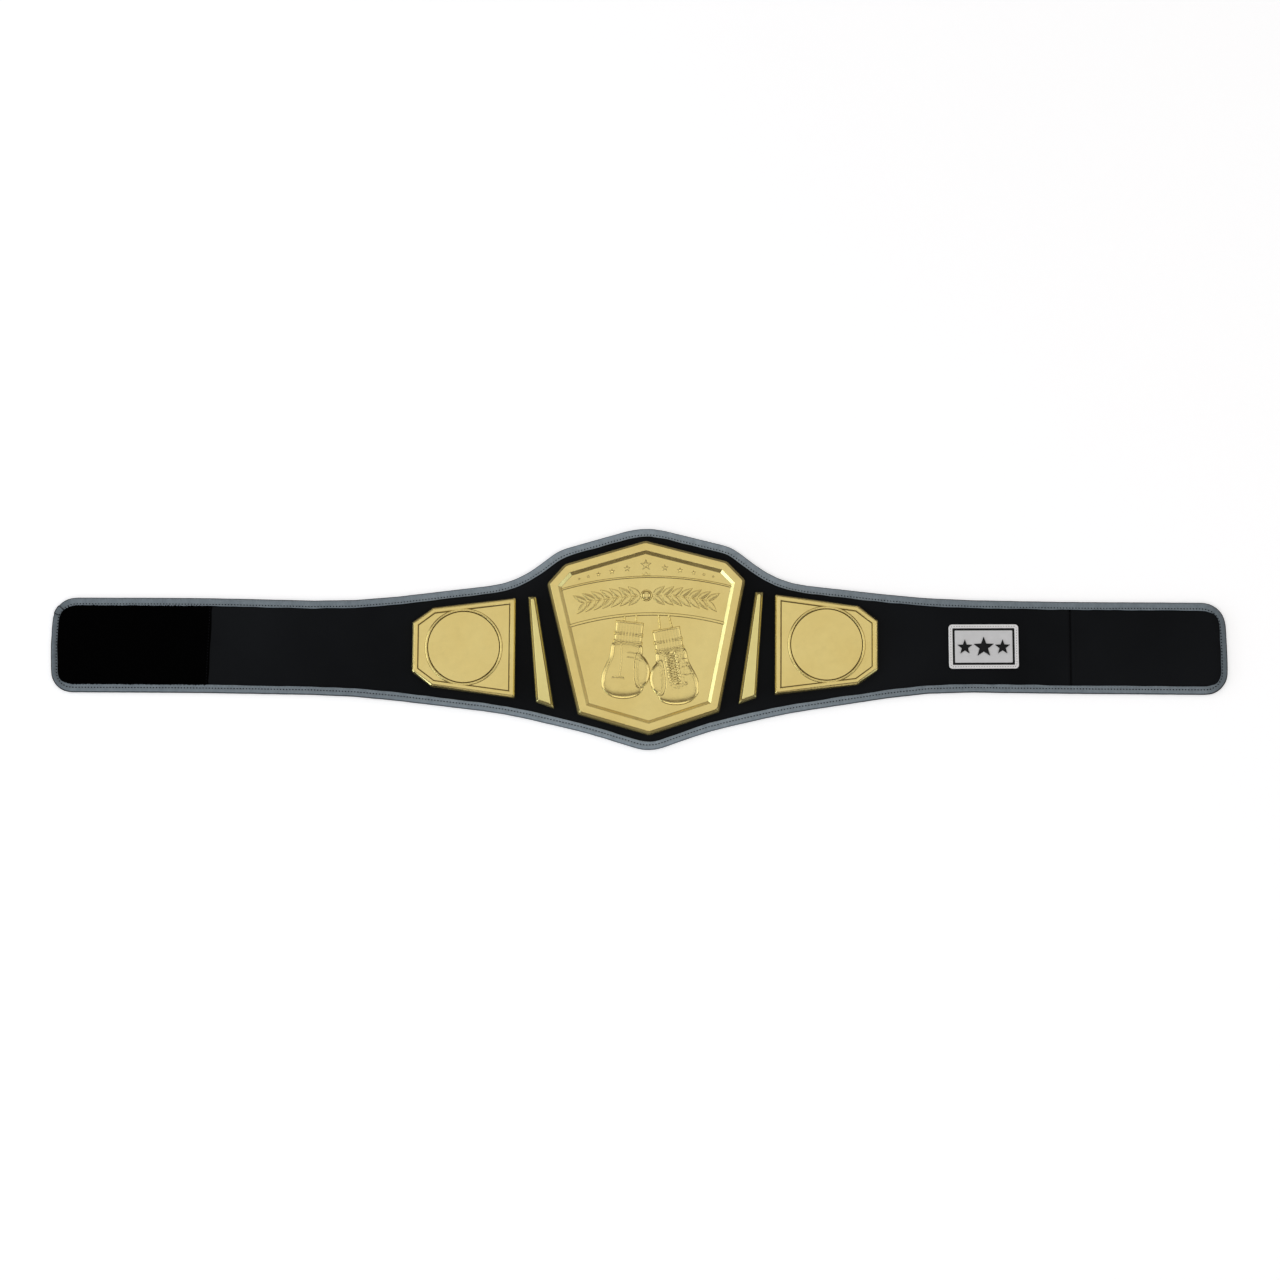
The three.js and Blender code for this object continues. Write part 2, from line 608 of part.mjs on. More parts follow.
// One glove that hangs from the banner's lower rib by its two cords. side is 1 with its thumb on the right.
function glove(middle, side, degrees, laced) {
  const place = (loop) => loop.map((p) => p.clone().rotateAround(point(0, 0), radians(degrees)).add(middle));
  const cuffHalf = GLOVE_WIDTH * 0.31;
  const cuffLoop = [point(-cuffHalf * 0.92, 0), point(cuffHalf * 0.92, 0),
    point(cuffHalf, CUFF_LENGTH), point(-cuffHalf, CUFF_LENGTH)];
  const band = (height) => barLoop(point(-cuffHalf * 1.06, height), point(cuffHalf * 1.06, height), BAND_WIDTH);
  const parts = [
    swelling(place(smoothLoop(MITT, side, 26)), GLOVE_RELIEF, GLOVE_WIDTH),
    swelling(place(smoothLoop(THUMB, side, 14)), GLOVE_RELIEF * 1.15, GLOVE_WIDTH * 0.5),
    mound(place(cuffLoop), GLOVE_RELIEF * 0.7, CUFF_EDGE),
    mound(place(band(CUFF_LENGTH * 0.02)), GLOVE_RELIEF * 0.95, BAND_WIDTH * 0.15),
    mound(place(band(CUFF_LENGTH * 0.41)), GLOVE_RELIEF * 0.95, BAND_WIDTH * 0.15),
  ];
  for (const across of [-0.45, 0.45]) {
    const from = point(across * cuffHalf, CUFF_LENGTH * 0.9);
    const to = point(across * cuffHalf * 0.6, CUFF_LENGTH * 2.4);
    parts.push(mound(place(barLoop(from, to, CORD_WIDTH)), RELIEF, CORD_WIDTH * 0.2));
  }
  if (laced) {
    for (let k = 0; k < LACE_RUNGS; k++) {
      const y = -GLOVE_LENGTH * (0.1 + 0.1 * k);
      const rung = barLoop(point(-GLOVE_WIDTH * 0.1, y), point(GLOVE_WIDTH * 0.1, y - CORD_WIDTH), CORD_WIDTH);
      parts.push(loft([
        { loop: place(rung), z: fieldZ },
        { loop: place(rung), z: fieldZ + GLOVE_RELIEF + CORD_WIDTH * 0.4 },
      ]));
    }
  }
  return parts;
}

function mainPlateGeometry() {
  const loop = mainPlateLoop();
  const base = solidOf(loft(plateRings(loop, {
    thick: MAIN_THICK, wall: MAIN_WALL, chamfer: MAIN_CHAMFER, rim: MAIN_RIM, slope: MAIN_BEVEL, sink: MAIN_SINK,
  })));
  const field = inset(loop, MAIN_WALL + MAIN_CHAMFER + MAIN_RIM + MAIN_BEVEL * 0.85);
  const bounds = solidOf(prism(field, fieldZ - ROOT, MAIN_THICK));
  const ribs = [mound(ribLoop(BANNER_BAND / 2, TOP_RIB), RELIEF, TOP_RIB * 0.25),
    mound(ribLoop(-BANNER_BAND / 2, LOW_RIB), RELIEF, LOW_RIB * 0.25)];
  const cuffTop = BANNER_HEIGHT - BANNER_BAND / 2 - CUFF_LENGTH * 1.35;
  const gloves = [
    ...glove(point(-GLOVE_WIDTH * 0.44, cuffTop), 1, -7, false),
    ...glove(point(GLOVE_WIDTH * 0.5, cuffTop - CUFF_LENGTH * 0.35), -1, 9, true),
  ];
  const below = solidOf(prism(ribLoop(-BANNER_BAND / 2 - BANNER_RADIUS / 4, BANNER_RADIUS / 2),
    fieldZ - ROOT, MAIN_THICK));
  const hanging = fused(gloves).intersect(below);
  const relief = fused([...ribs, ...garland(), ...starRow(), crest()]).add(hanging).intersect(bounds);
  return geometryOf(base.add(relief));
}

function placedGroup(middle, degrees) {
  const group = new THREE.Group();
  group.position.set(middle.x, middle.y, seat);
  group.quaternion.setFromAxisAngle(AXIS_Z, radians(degrees));
  belt.add(group);
  return group;
}

addPiece('main_plate', mainPlateGeometry(), GOLD, placedGroup(mainMiddle, MAIN_TURN_DEG));

function barGeometry(loop) {
  return loft(plateRings(loop, { thick: BAR_THICK, wall: SMALL_WALL, chamfer: BAR_CHAMFER }));
}

const rightBar = rightBarLoop();
const barRise = Math.tan(radians(BAR_TILT_DEG)) * rightBar[3].x;
addPiece('wedge_bar_right', barGeometry(rightBar), GOLD, placedGroup(point(BAR_SHIFT, barRise), BAR_TURN_DEG));
addPiece('wedge_bar_left', barGeometry(mirrored(rightBar)), GOLD, placedGroup(point(BAR_SHIFT, -barRise), BAR_TURN_DEG));

// A side plate: sunk corners, and a disc in a raised ring that just meets the rim above and below.
function sidePlateGeometry(loop) {
  const sinkZ = SIDE_THICK - SIDE_SINK;
  const slope = Math.atan2((SIDE_INNER_HEIGHT - SIDE_KNEE_HEIGHT) / 2, SIDE_WIDTH - SIDE_CUT);
  const midHeight = SIDE_INNER_HEIGHT / 2 - (SIDE_WIDTH / 2) * Math.tan(slope);
  const ringOuter = midHeight * Math.cos(slope) - SMALL_WALL - SIDE_CHAMFER - SIDE_RIM + RING_LAP;
  const ringInner = ringOuter - RING_WIDTH;
  const plate = solidOf(loft(plateRings(loop, {
    thick: SIDE_THICK, wall: SMALL_WALL, chamfer: SIDE_CHAMFER, rim: SIDE_RIM, slope: SIDE_STEP, sink: SIDE_SINK,
  })));
  const profile = [
    point(0, sinkZ - ROOT),
    point(ringOuter, sinkZ - ROOT),
    point(ringOuter, sinkZ),
    point(ringOuter - RING_WIDTH * 0.35, SIDE_THICK),
    point(ringInner + RING_WIDTH * 0.25, SIDE_THICK),
    point(ringInner, SIDE_THICK - DISC_SINK),
    point(0, SIDE_THICK - DISC_SINK),
  ];
  const disc = solidOf(new THREE.LatheGeometry(profile, DISC_SIDES).rotateX(Math.PI / 2));
  const hollow = solidOf(new THREE.LatheGeometry([
    point(0, SIDE_THICK - DISC_SINK),
    point(ringInner, SIDE_THICK - DISC_SINK),
    point(ringInner + RING_WIDTH / 4, SIDE_THICK + DISC_SINK),
    point(0, SIDE_THICK + DISC_SINK),
  ], DISC_SIDES).rotateX(Math.PI / 2));
  return geometryOf(plate.add(disc).subtract(hollow));
}

const rightSide = sidePlateLoop();
const sideRise = Math.tan(radians(SIDE_TILT_DEG)) * sideMiddle.x;
addPiece('side_plate_right', sidePlateGeometry(rightSide), GOLD,
  placedGroup(point(sideMiddle.x, sideMiddle.y + sideRise), SIDE_TURN_DEG));
addPiece('side_plate_left', sidePlateGeometry(mirrored(rightSide)), GOLD,
  placedGroup(point(-sideMiddle.x, sideMiddle.y - sideRise), SIDE_TURN_DEG));

// Sewn label on the right arm: silver border and field on a black backing, with a row of stars.
function labelLoop(shrink) {
  const x = LABEL_WIDTH / 2 - shrink;
  const y = LABEL_HEIGHT / 2 - shrink;
  const soft = Math.max(LABEL_RADIUS - shrink, LABEL_RADIUS * 0.2);
  return roundedLoop([[-x, -y], [x, -y], [x, y], [-x, y]].map(([px, py]) => ({ x: px, y: py, soft })));
}

const label = placedGroup(point(RIGHT_REACH * 0.581, STRAP_HEIGHT * 0.008), LABEL_TURN_DEG);
const backingTop = LABEL_THICK;
const faceLow = backingTop + LABEL_BOND;
const faceTop = faceLow + LABEL_RELIEF;
addPiece('label_backing', prism(labelLoop(0), 0, backingTop), BLACK_RUBBER, label);
const borderOuter = labelLoop(LABEL_HEM);
const borderInner = labelLoop(LABEL_BORDER);
addPiece('label_border', loft([
  { loop: borderOuter, z: faceLow },
  { loop: borderOuter, z: faceTop },
  { loop: borderInner, z: faceTop },
  { loop: borderInner, z: faceLow },
], { joined: true }), SILVER_RUBBER, label);
addPiece('label_field', prism(labelLoop(LABEL_BORDER + LABEL_GROOVE), faceLow, faceTop), SILVER_RUBBER, label);
const labelStars = [
  { name: 'label_star_left', across: -1, size: 0.74 },
  { name: 'label_star_middle', across: 0, size: 1 },
  { name: 'label_star_right', across: 1, size: 0.74 },
];
for (const { name, across, size } of labelStars) {
  const loop = starLoop(LABEL_STAR_RADIUS * size, point(across * LABEL_STAR_PITCH, -LABEL_RELIEF));
  const low = faceTop + LABEL_BOND;
  addPiece(name, prism(loop, low, low + LABEL_RELIEF), BLACK_RUBBER, label);
}

// The origin goes under the middle of the whole belt.
const box = new THREE.Box3().setFromObject(belt, true);
const middle = box.getCenter(new THREE.Vector3());
belt.position.set(-middle.x, -middle.y, -box.min.z);

export default belt;
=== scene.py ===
"""A championship title belt, laid open on a white table.

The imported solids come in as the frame, and each is stood for by a detailed piece in the same place.
Shapes are drawn in millimetres, as in the part's source, and scaled to metres as they are placed.
"""
import math
import random

import bmesh
import bpy
import numpy as np
from mathutils import Matrix, Vector, noise


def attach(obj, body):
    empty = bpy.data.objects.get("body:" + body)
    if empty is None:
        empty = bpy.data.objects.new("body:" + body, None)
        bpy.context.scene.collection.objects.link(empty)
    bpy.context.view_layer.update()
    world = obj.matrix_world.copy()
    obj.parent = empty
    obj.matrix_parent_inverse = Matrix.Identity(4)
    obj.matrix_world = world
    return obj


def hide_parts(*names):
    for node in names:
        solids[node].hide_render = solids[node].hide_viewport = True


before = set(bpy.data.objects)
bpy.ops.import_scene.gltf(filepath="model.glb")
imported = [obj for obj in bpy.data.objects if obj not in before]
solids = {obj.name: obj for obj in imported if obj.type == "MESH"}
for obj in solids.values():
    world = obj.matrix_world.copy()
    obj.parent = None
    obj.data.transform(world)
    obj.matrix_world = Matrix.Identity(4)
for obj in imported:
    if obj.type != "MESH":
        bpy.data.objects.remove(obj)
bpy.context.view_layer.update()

MM = 0.001

# The photograph's camera: its focal length in the picture's own pixels, its height over the belt and its distance
PICTURE_WIDTH = 1280
FOCAL_LENGTH = 3571
VIEW_HEIGHT = 82
VIEW_DISTANCE = 3.7
VIEW_AIM = (0.001, -0.001, 0.003)

# Heights of the layers, the same as in the part's source
BINDING_WIDTH = 8.6
FABRIC_INSET = 2.0
STRAP_MIDDLE = 2.6
STRAP_TOP = 4.6
STRAP_UNDER = 0.6
GRIPPED_TOP = 4.0
SEAT = 4.9
PLATES_MIDDLE_X = 6
PLATES_REACH = 255  # the fabric waves more beyond the plates
CREASE_X = 446.8
LOOP_EDGE_X = -443.6
HOOK_EDGE_X = 446.9

# Sewing
STITCH_PITCH = 3.2
STITCH_LENGTH = 1.8
STITCH_INSET = 5.9
SEAM_LEAN = 0.9  # the seam lies farther in along the top than along the bottom
THREAD = 0.4
BINDING_THREAD = 0.72
SEAM_REACH = 2.3  # how far to each side the tape gives with its seam
TAPE_LIP = 6.5  # from here on in, the tape's free edge wavers and lies farther out at the belt's ends
BELT_END_X = 594
BINDING_SEAM_TOP = 4.36
BINDING_SEAM_UNDER = 1.12
CREASE_DEPTH = 2.4
CREASE_SEAM_TOP = 2.4
CREASE_SEAM_UNDER = 0.72
PILE_EDGE_SLANT = 0.036
TAPE_FOLD = 10.8  # how far across the tape its fold at the belt's edge lies

# Main plate
MAIN_PLACE = (8.5014, -0.2284, 1.0)
MAIN_LOOP = [(0, -100.5), (73.1, -77.6), (103, 59.2), (84.4, 79.2),
             (0, 102.5), (-84.4, 79.2), (-103, 59.2), (-73.1, -77.6)]
# Each step: how far in, how far up and, where given, how much painted shade its edge gets
MAIN_STEPS = [(0.6, 7.2, 0.55), (1.1, 1.2, 0.55), (0.9, 0.9, 0.95), (0.4, 0.5, 0.5), (0.2, 0.2),
              (7.2, 0), (3.3, -2.83, 0.1), (0.2, -0.17, 0.8), (0.3, 0)]
FIELD = 7.0
BANNER_RADIUS = 311
BANNER_HEIGHT = 44.6
BANNER_BAND = 39
LEAF_LENGTH = 16.4
LEAF_WIDTH = 6.2
LEAF_PAIRS = 7
LEAF_SPREAD = 38
BOSS_RADIUS = 6.2
STAR_RADIUS = 5.6
MIDDLE_STAR = 6.4
STAR_ROW = 76.6
GLOVE_WIDTH = 46
LACE_RUNGS = 5
GLOVE_LENGTH = 58
CUFF_LENGTH = 22
CUFF_HALF = GLOVE_WIDTH * 0.31
CUFF_TOP = BANNER_HEIGHT - BANNER_BAND / 2 - CUFF_LENGTH * 1.35

# Bars and side plates
RIGHT_SIDE_PLACE = (193.9038, -6.8186, -0.45)
LEFT_SIDE_PLACE = (-181.3009, -9.4381, -0.45)
SIDE_LOOP = [(-53.4, -52.4), (32.6, -41.2), (53.4, -25.7), (53.4, 25.7), (32.6, 41.2), (-53.4, 52.4)]
SIDE_TOP = 7.0
# Steps as for the main plate; a third value is painted shade
SIDE_STEPS = [(0.5, 5.6, 0.15), (1.2, 1.15), (1.1, 0.25), (1.6, 0), (1.1, -0.18), (0.4, -0.6, 0.8),
              (0.35, -0.9, 1), (0.25, -0.1, 1), (0.35, 0.58, 0.6), (0.25, 0)]
RING_OUTER = 40.166
RING_INNER = 37.166

RIGHT_BAR_PLACE = (7.2014, -7.3469, 0.3)
LEFT_BAR_PLACE = (7.2014, -10.9098, 0.3)
BAR_LOOP = [(95.03, -61.7), (113.93, -54.9), (122.002, 55.3), (113.402, 55.3)]
# Steps as for the main plate; a third value is painted shade
BAR_STEPS = [(0.5, 5.2, 0.4), (1.2, 1.25, 0.35), (0.6, 0.6, 0.95), (0.45, 0.5, 0.8),
             (0.25, 0.25, 0.1), (0.25, 0.2)]

LABEL_PLACE = (356.6444, -8.3364, 0.2)
LABEL_HALF = (36.4, 23.4)


# ---------------------------------------------------------------- camera

def make_camera():
    lens = bpy.data.cameras.new("camera")
    lens.sensor_width = 36
    lens.lens = FOCAL_LENGTH / PICTURE_WIDTH * lens.sensor_width
    lens.clip_end = 30
    camera = bpy.data.objects.new("camera", lens)
    bpy.context.scene.collection.objects.link(camera)
    height = math.radians(VIEW_HEIGHT)
    back = Vector((0, -math.cos(height), math.sin(height)))
    camera.location = Vector(VIEW_AIM) + back * VIEW_DISTANCE
    camera.rotation_mode = "QUATERNION"
    camera.rotation_quaternion = (-back).to_track_quat("-Z", "Y")
    bpy.context.scene.camera = camera


make_camera()


# ---------------------------------------------------------------- finishes

def effect(name, inputs, outputs):
    """A shader node group with named sockets; inputs are (name, kind, value)."""
    group = bpy.data.node_groups.new(name, "ShaderNodeTree")
    for title, kind, value in inputs:
        socket = group.interface.new_socket(title, in_out="INPUT", socket_type=kind)
        if value is not None:
            socket.default_value = value
    for title, kind in outputs:
        group.interface.new_socket(title, in_out="OUTPUT", socket_type=kind)
    return group, group.nodes.new("NodeGroupInput"), group.nodes.new("NodeGroupOutput")


def maths(tree, operation, first, second=None, third=None):
    node = tree.nodes.new("ShaderNodeMath")
    node.operation = operation
    for slot, value in zip(node.inputs, (first, second, third)):
        if isinstance(value, (int, float)):
            slot.default_value = value
        elif value is not None:
            tree.links.new(value, slot)
    return node.outputs[0]


def mottle_effect():
    """Soft uneven patches: cloudy noise spread between two values."""
    group, given, result = effect("mottle", [
        ("Place", "NodeSocketVector", None),
        ("Patches", "NodeSocketFloat", 40),
        ("Low", "NodeSocketFloat", 0),
        ("High", "NodeSocketFloat", 1),
    ], [("Value", "NodeSocketFloat")])
    cloud = group.nodes.new("ShaderNodeTexNoise")
    cloud.inputs["Detail"].default_value = 4
    group.links.new(given.outputs["Place"], cloud.inputs["Vector"])
    group.links.new(given.outputs["Patches"], cloud.inputs["Scale"])
    spread = group.nodes.new("ShaderNodeMapRange")
    spread.inputs["From Min"].default_value = 0.3
    spread.inputs["From Max"].default_value = 0.7
    group.links.new(cloud.outputs["Fac"], spread.inputs["Value"])
    group.links.new(given.outputs["Low"], spread.inputs["To Min"])
    group.links.new(given.outputs["High"], spread.inputs["To Max"])
    group.links.new(spread.outputs["Result"], result.inputs["Value"])
    return group


def weave_effect():
    """Crossed ribs: a height from 0 to 1 for a knit or a woven tape, with a little unevenness."""
    group, given, result = effect("weave", [
        ("Place", "NodeSocketVector", None),
        ("Ribs Across", "NodeSocketFloat", 1000),
        ("Ribs Along", "NodeSocketFloat", 1000),
        ("Along Share", "NodeSocketFloat", 0.5),
    ], [("Height", "NodeSocketFloat")])
    axes = group.nodes.new("ShaderNodeSeparateXYZ")
    fuzz = group.nodes.new("ShaderNodeTexNoise")
    fuzz.inputs["Scale"].default_value = 900
    fuzz.inputs["Detail"].default_value = 2
    group.links.new(given.outputs["Place"], axes.inputs[0])
    group.links.new(given.outputs["Place"], fuzz.inputs["Vector"])
    ribs = []
    for axis, count in (("X", "Ribs Across"), ("Y", "Ribs Along")):
        turn = maths(group, "MULTIPLY", axes.outputs[axis], given.outputs[count])
        turn = maths(group, "MULTIPLY", turn, math.tau)
        ribs.append(maths(group, "MULTIPLY_ADD", maths(group, "SINE", turn), 0.5, 0.5))
    along = maths(group, "MULTIPLY", ribs[1], given.outputs["Along Share"])
    across = maths(group, "MULTIPLY", ribs[0], maths(group, "SUBTRACT", 1, given.outputs["Along Share"]))
    both = maths(group, "ADD", along, across)
    uneven = maths(group, "MULTIPLY_ADD", fuzz.outputs["Fac"], 0.5, maths(group, "MULTIPLY", both, 0.75))
    group.links.new(uneven, result.inputs["Height"])
    return group


MOTTLE = mottle_effect()
WEAVE = weave_effect()


def start_finish(name, roughness, **shine):
    """A material with its own Principled shader. shine gives shader sockets that are the same all over."""
    material = bpy.data.materials.new(name)
    material.use_nodes = True
    tree = material.node_tree
    shader = tree.nodes["Principled BSDF"]
    shader.inputs["Roughness"].default_value = roughness
    for socket, value in shine.items():
        shader.inputs[socket.replace("_", " ")].default_value = value
    return material, tree, shader


def placed(tree, group, place, **values):
    node = tree.nodes.new("ShaderNodeGroup")
    node.node_tree = group
    tree.links.new(place, node.inputs["Place"])
    for socket, value in values.items():
        node.inputs[socket.replace("_", " ")].default_value = value
    return node.outputs[0]


def tone(tree, mask, low, high):
    """A colour that runs from low to high with a mask; low may be another tone."""
    ramp = tree.nodes.new("ShaderNodeMix")
    ramp.data_type = "RGBA"
    if isinstance(low, tuple):
        ramp.inputs["A"].default_value = (*low, 1)
    else:
        tree.links.new(low, ramp.inputs["A"])
    ramp.inputs["B"].default_value = (*high, 1)
    tree.links.new(mask, ramp.inputs["Factor"])
    return ramp.outputs["Result"]


def coloured(tree, shader, colour):
    tree.links.new(colour, shader.inputs["Base Color"])


def mottled(tree, shader, place, patches, low, high):
    """The base colour runs from low to high in soft patches."""
    coloured(tree, shader, tone(tree, placed(tree, MOTTLE, place, Patches=patches), low, high))


def spread_over(tree, value, start, end, low, high):
    """A value from low to high as another goes from start to end."""
    spread = tree.nodes.new("ShaderNodeMapRange")
    for socket, number in (("From Min", start), ("From Max", end), ("To Min", low), ("To Max", high)):
        spread.inputs[socket].default_value = number
    tree.links.new(value, spread.inputs["Value"])
    return spread.outputs["Result"]


def bumped(tree, shader, *layers):
    """Bump in metres: each layer is (height, depth)."""
    last = None
    for height, depth in layers:
        bump = tree.nodes.new("ShaderNodeBump")
        bump.inputs["Strength"].default_value = 1
        bump.inputs["Distance"].default_value = depth * MM
        tree.links.new(height, bump.inputs["Height"])
        if last is not None:
            tree.links.new(last, bump.inputs["Normal"])
        last = bump.outputs["Normal"]
    tree.links.new(last, shader.inputs["Normal"])


def object_place(tree):
    return tree.nodes.new("ShaderNodeTexCoord").outputs["Object"]


def plated_gold(name, low, high):
    """Gold plate with painted shade: brown and less metallic where the mesh says a point lies deep in a recess, a
    crease or at a plate's foot.
    """
    material, tree, shader = start_finish(name, 0.27, Specular_IOR_Level=0.15)
    place = object_place(tree)
    unshaded = tone(tree, placed(tree, MOTTLE, place, Patches=22.0), low, high)
    attribute = tree.nodes.new("ShaderNodeAttribute")
    attribute.attribute_name = "recess"
    recess = attribute.outputs["Fac"]
    # Painted shade: recesses, creases and plate feet turn brown and less metallic
    coloured(tree, shader, tone(tree, maths(tree, "MULTIPLY", recess, 0.9), unshaded, PAINTED_SHADE))
    tree.links.new(maths(tree, "MULTIPLY_ADD", recess, -0.7, 1.0), shader.inputs["Metallic"])
    tree.links.new(placed(tree, MOTTLE, place, Patches=130.0, Low=0.2, High=0.27), shader.inputs["Roughness"])
    bumped(tree, shader,
           (placed(tree, MOTTLE, place, Patches=60.0), 0.02),
           (placed(tree, MOTTLE, place, Patches=700.0), 0.0018))
    return material


def woven(name, roughness, patches, dark, light, ribs, depth, **shine):
    """Knit, weave or twist: soft patches of colour, and crossed ribs as (across, along, share of those along)."""
    material, tree, shader = start_finish(name, roughness, **shine)
    place = object_place(tree)
    mottled(tree, shader, place, patches, dark, light)
    across, along, share = ribs
    weave = placed(tree, WEAVE, place, Ribs_Across=across, Ribs_Along=along, Along_Share=share)
    bumped(tree, shader, (weave, depth))
    return material


def edge_tape(name, dark, light):
    """Binding tape with painted light and shade: darker at the belt's two ends and in its fold, and paler round the
    plates.
    """
    material, tree, shader = start_finish(name, 0.75, Specular_IOR_Level=0.25, Sheen_Weight=0.05)
    tape_map = tree.nodes.new("ShaderNodeUVMap")
    tape_map.uv_map = "tape"
    on_tape = tape_map.outputs["UV"]
    unshaded = tone(tree, placed(tree, MOTTLE, on_tape, Patches=140.0), dark, light)
    weave = placed(tree, WEAVE, on_tape, Ribs_Across=1500.0, Ribs_Along=700.0, Along_Share=0.35)
    axes = tree.nodes.new("ShaderNodeSeparateXYZ")
    tree.links.new(on_tape, axes.inputs[0])
    spot = tree.nodes.new("ShaderNodeSeparateXYZ")
    tree.links.new(object_place(tree), spot.inputs[0])
    from_middle = maths(tree, "ABSOLUTE", spot.outputs["X"])
    # Painted shade towards the belt's two ends, and painted light round its middle
    painted_light_and_shade = spread_over(tree, from_middle, 0.585, 0.602, 0.0, 0.34)
    painted_light_and_shade = maths(tree, "ADD", painted_light_and_shade, spread_over(tree, from_middle, 0.08, 0.30, -0.4, 0.0))
    # Painted shade in the tape's fold at the belt's edge
    from_fold = maths(tree, "ABSOLUTE", maths(tree, "SUBTRACT", axes.outputs["Y"], TAPE_FOLD * MM))
    painted_light_and_shade = maths(tree, "ADD", painted_light_and_shade, spread_over(tree, from_fold, 0.0017, 0.0027, 0.85, 0.0))
    shaded_tape_colour = tone(tree, painted_light_and_shade, unshaded, tuple(c * 0.06 for c in dark))
    shaded_tape_colour.node.clamp_factor = False
    coloured(tree, shader, shaded_tape_colour)
    pull = maths(tree, "SINE", maths(tree, "MULTIPLY", axes.outputs["X"], math.tau / (STITCH_PITCH * MM)))
    bumped(tree, shader, (pull, 0.09), (weave, 0.12))
    return material


def loop_pile():
    material, tree, shader = start_finish("loop_pile", 1.0, Specular_IOR_Level=0.02)
    place = object_place(tree)
    tuft = placed(tree, MOTTLE, place, Patches=1100.0)
    coloured(tree, shader, tone(tree, tuft, (0.0002, 0.0002, 0.0002), (0.0010, 0.0010, 0.0010)))
    bumped(tree, shader, (tuft, 0.5))
    return material


def sewing_thread(name, dark, light):
    return woven(name, 0.7, 500.0, dark, light, (2500.0, 2500.0, 0.5), 0.06, Specular_IOR_Level=0.08)


def label_rubber(name, dark, light, roughness, **shine):
    material, tree, shader = start_finish(name, roughness, **shine)
    place = object_place(tree)
    mottled(tree, shader, place, 120.0, dark, light)
    bumped(tree, shader, (placed(tree, MOTTLE, place, Patches=1400.0), 0.03))
    return material


def table_card():
    """The white table that the belt lies on, lit from under as a light table is."""
    material, tree, shader = start_finish("table_card", 0.9, Specular_IOR_Level=0.0)
    mottled(tree, shader, object_place(tree), 3.0, (0.93, 0.93, 0.93), (0.94, 0.94, 0.94))
    shader.inputs["Emission Color"].default_value = (1, 1, 1, 1)
    shader.inputs["Emission Strength"].default_value = TABLE_GLOW
    return material


TABLE_GLOW = 0.44
# The brown of the gold's painted shade in its recesses, creases and feet
PAINTED_SHADE = (0.20, 0.135, 0.035)
GOLD = plated_gold("plated_gold", (0.90, 0.712, 0.262), (0.95, 0.778, 0.307))
# Painted light: the bars have the same plating as the plates, made paler and greener to stand for the light their
# slopes catch
GOLD_PAINTED_PALER = plated_gold("plated_gold_painted_paler", (0.90, 0.77, 0.30), (0.94, 0.83, 0.35))
KNIT = woven("strap_knit", 0.9, 6.0, (0.0042, 0.0048, 0.0056), (0.0085, 0.0095, 0.0110), (900.0, 1250.0, 0.7),
             0.12, Specular_IOR_Level=0.12, Sheen_Weight=0.02, Sheen_Roughness=0.4)
TAPE = edge_tape("binding_tape", (0.205, 0.244, 0.272), (0.262, 0.308, 0.340))
PILE = loop_pile()
HOOKS = woven("hook_nylon", 0.45, 60.0, (0.008, 0.008, 0.009), (0.016, 0.016, 0.018), (900.0, 900.0, 0.5), 0.1,
              Specular_IOR_Level=0.4)
GREY_THREAD = sewing_thread("grey_thread", (0.007, 0.009, 0.011), (0.018, 0.021, 0.024))
BLACK_THREAD = sewing_thread("black_thread", (0.004, 0.004, 0.005), (0.010, 0.010, 0.012))
PALE_THREAD = sewing_thread("pale_thread", (0.20, 0.20, 0.20), (0.32, 0.32, 0.32))
SILVER = label_rubber("silver_rubber", (0.93, 0.93, 0.93), (0.97, 0.97, 0.97), 0.38, Metallic=0.9)
DULL_SILVER = label_rubber("dull_silver_rubber", (0.79, 0.79, 0.79), (0.84, 0.84, 0.84), 0.45, Metallic=0.2)
BLACK = label_rubber("black_rubber", (0.003, 0.003, 0.003), (0.007, 0.007, 0.008), 0.45,
                     Specular_IOR_Level=0.22)


# ---------------------------------------------------------------- making pieces

def finished(name, bm, finish, stands_for=(), sharp=38, level=False):
    """The mesh becomes a piece on the belt, scaled from millimetres and with its sharp edges kept.

    level keeps the large flat faces flat to the light, right up to their rounded edges.
    """
    bmesh.ops.scale(bm, vec=(MM, MM, MM), verts=bm.verts)
    mesh = bpy.data.meshes.new(name)
    bm.to_mesh(mesh)
    bm.free()
    mesh.materials.append(finish)
    mesh.shade_smooth()
    if sharp:
        mesh.set_sharp_from_angle(angle=math.radians(sharp))
    made = bpy.data.objects.new(name, mesh)
    bpy.context.scene.collection.objects.link(made)
    if level:
        flat = made.modifiers.new("level", "WEIGHTED_NORMAL")
        flat.mode = "FACE_AREA"
        flat.weight = 50
        flat.keep_sharp = True
    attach(made, "root")
    if stands_for:
        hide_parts(*stands_for)
    return made


def joined(bm):
    bmesh.ops.remove_doubles(bm, verts=bm.verts, dist=1e-4)
    bmesh.ops.recalc_face_normals(bm, faces=bm.faces)
    return bm


def seated(bm, place, up=SEAT):
    """Moves a shape from its own middle to its place on the belt: (x, y, turn in degrees)."""
    x, y, turn = place
    move = Matrix.Translation((x, y, up)) @ Matrix.Rotation(math.radians(turn), 4, "Z")
    bmesh.ops.transform(bm, matrix=move, verts=bm.verts)
    return bm


def casting():
    """An empty mesh for a gold piece, with the layer that says how deep in a recess each point lies, which sets how
    much painted shade the gold gets there.
    """
    bm = bmesh.new()
    bm.verts.layers.float.new("recess")
    return bm


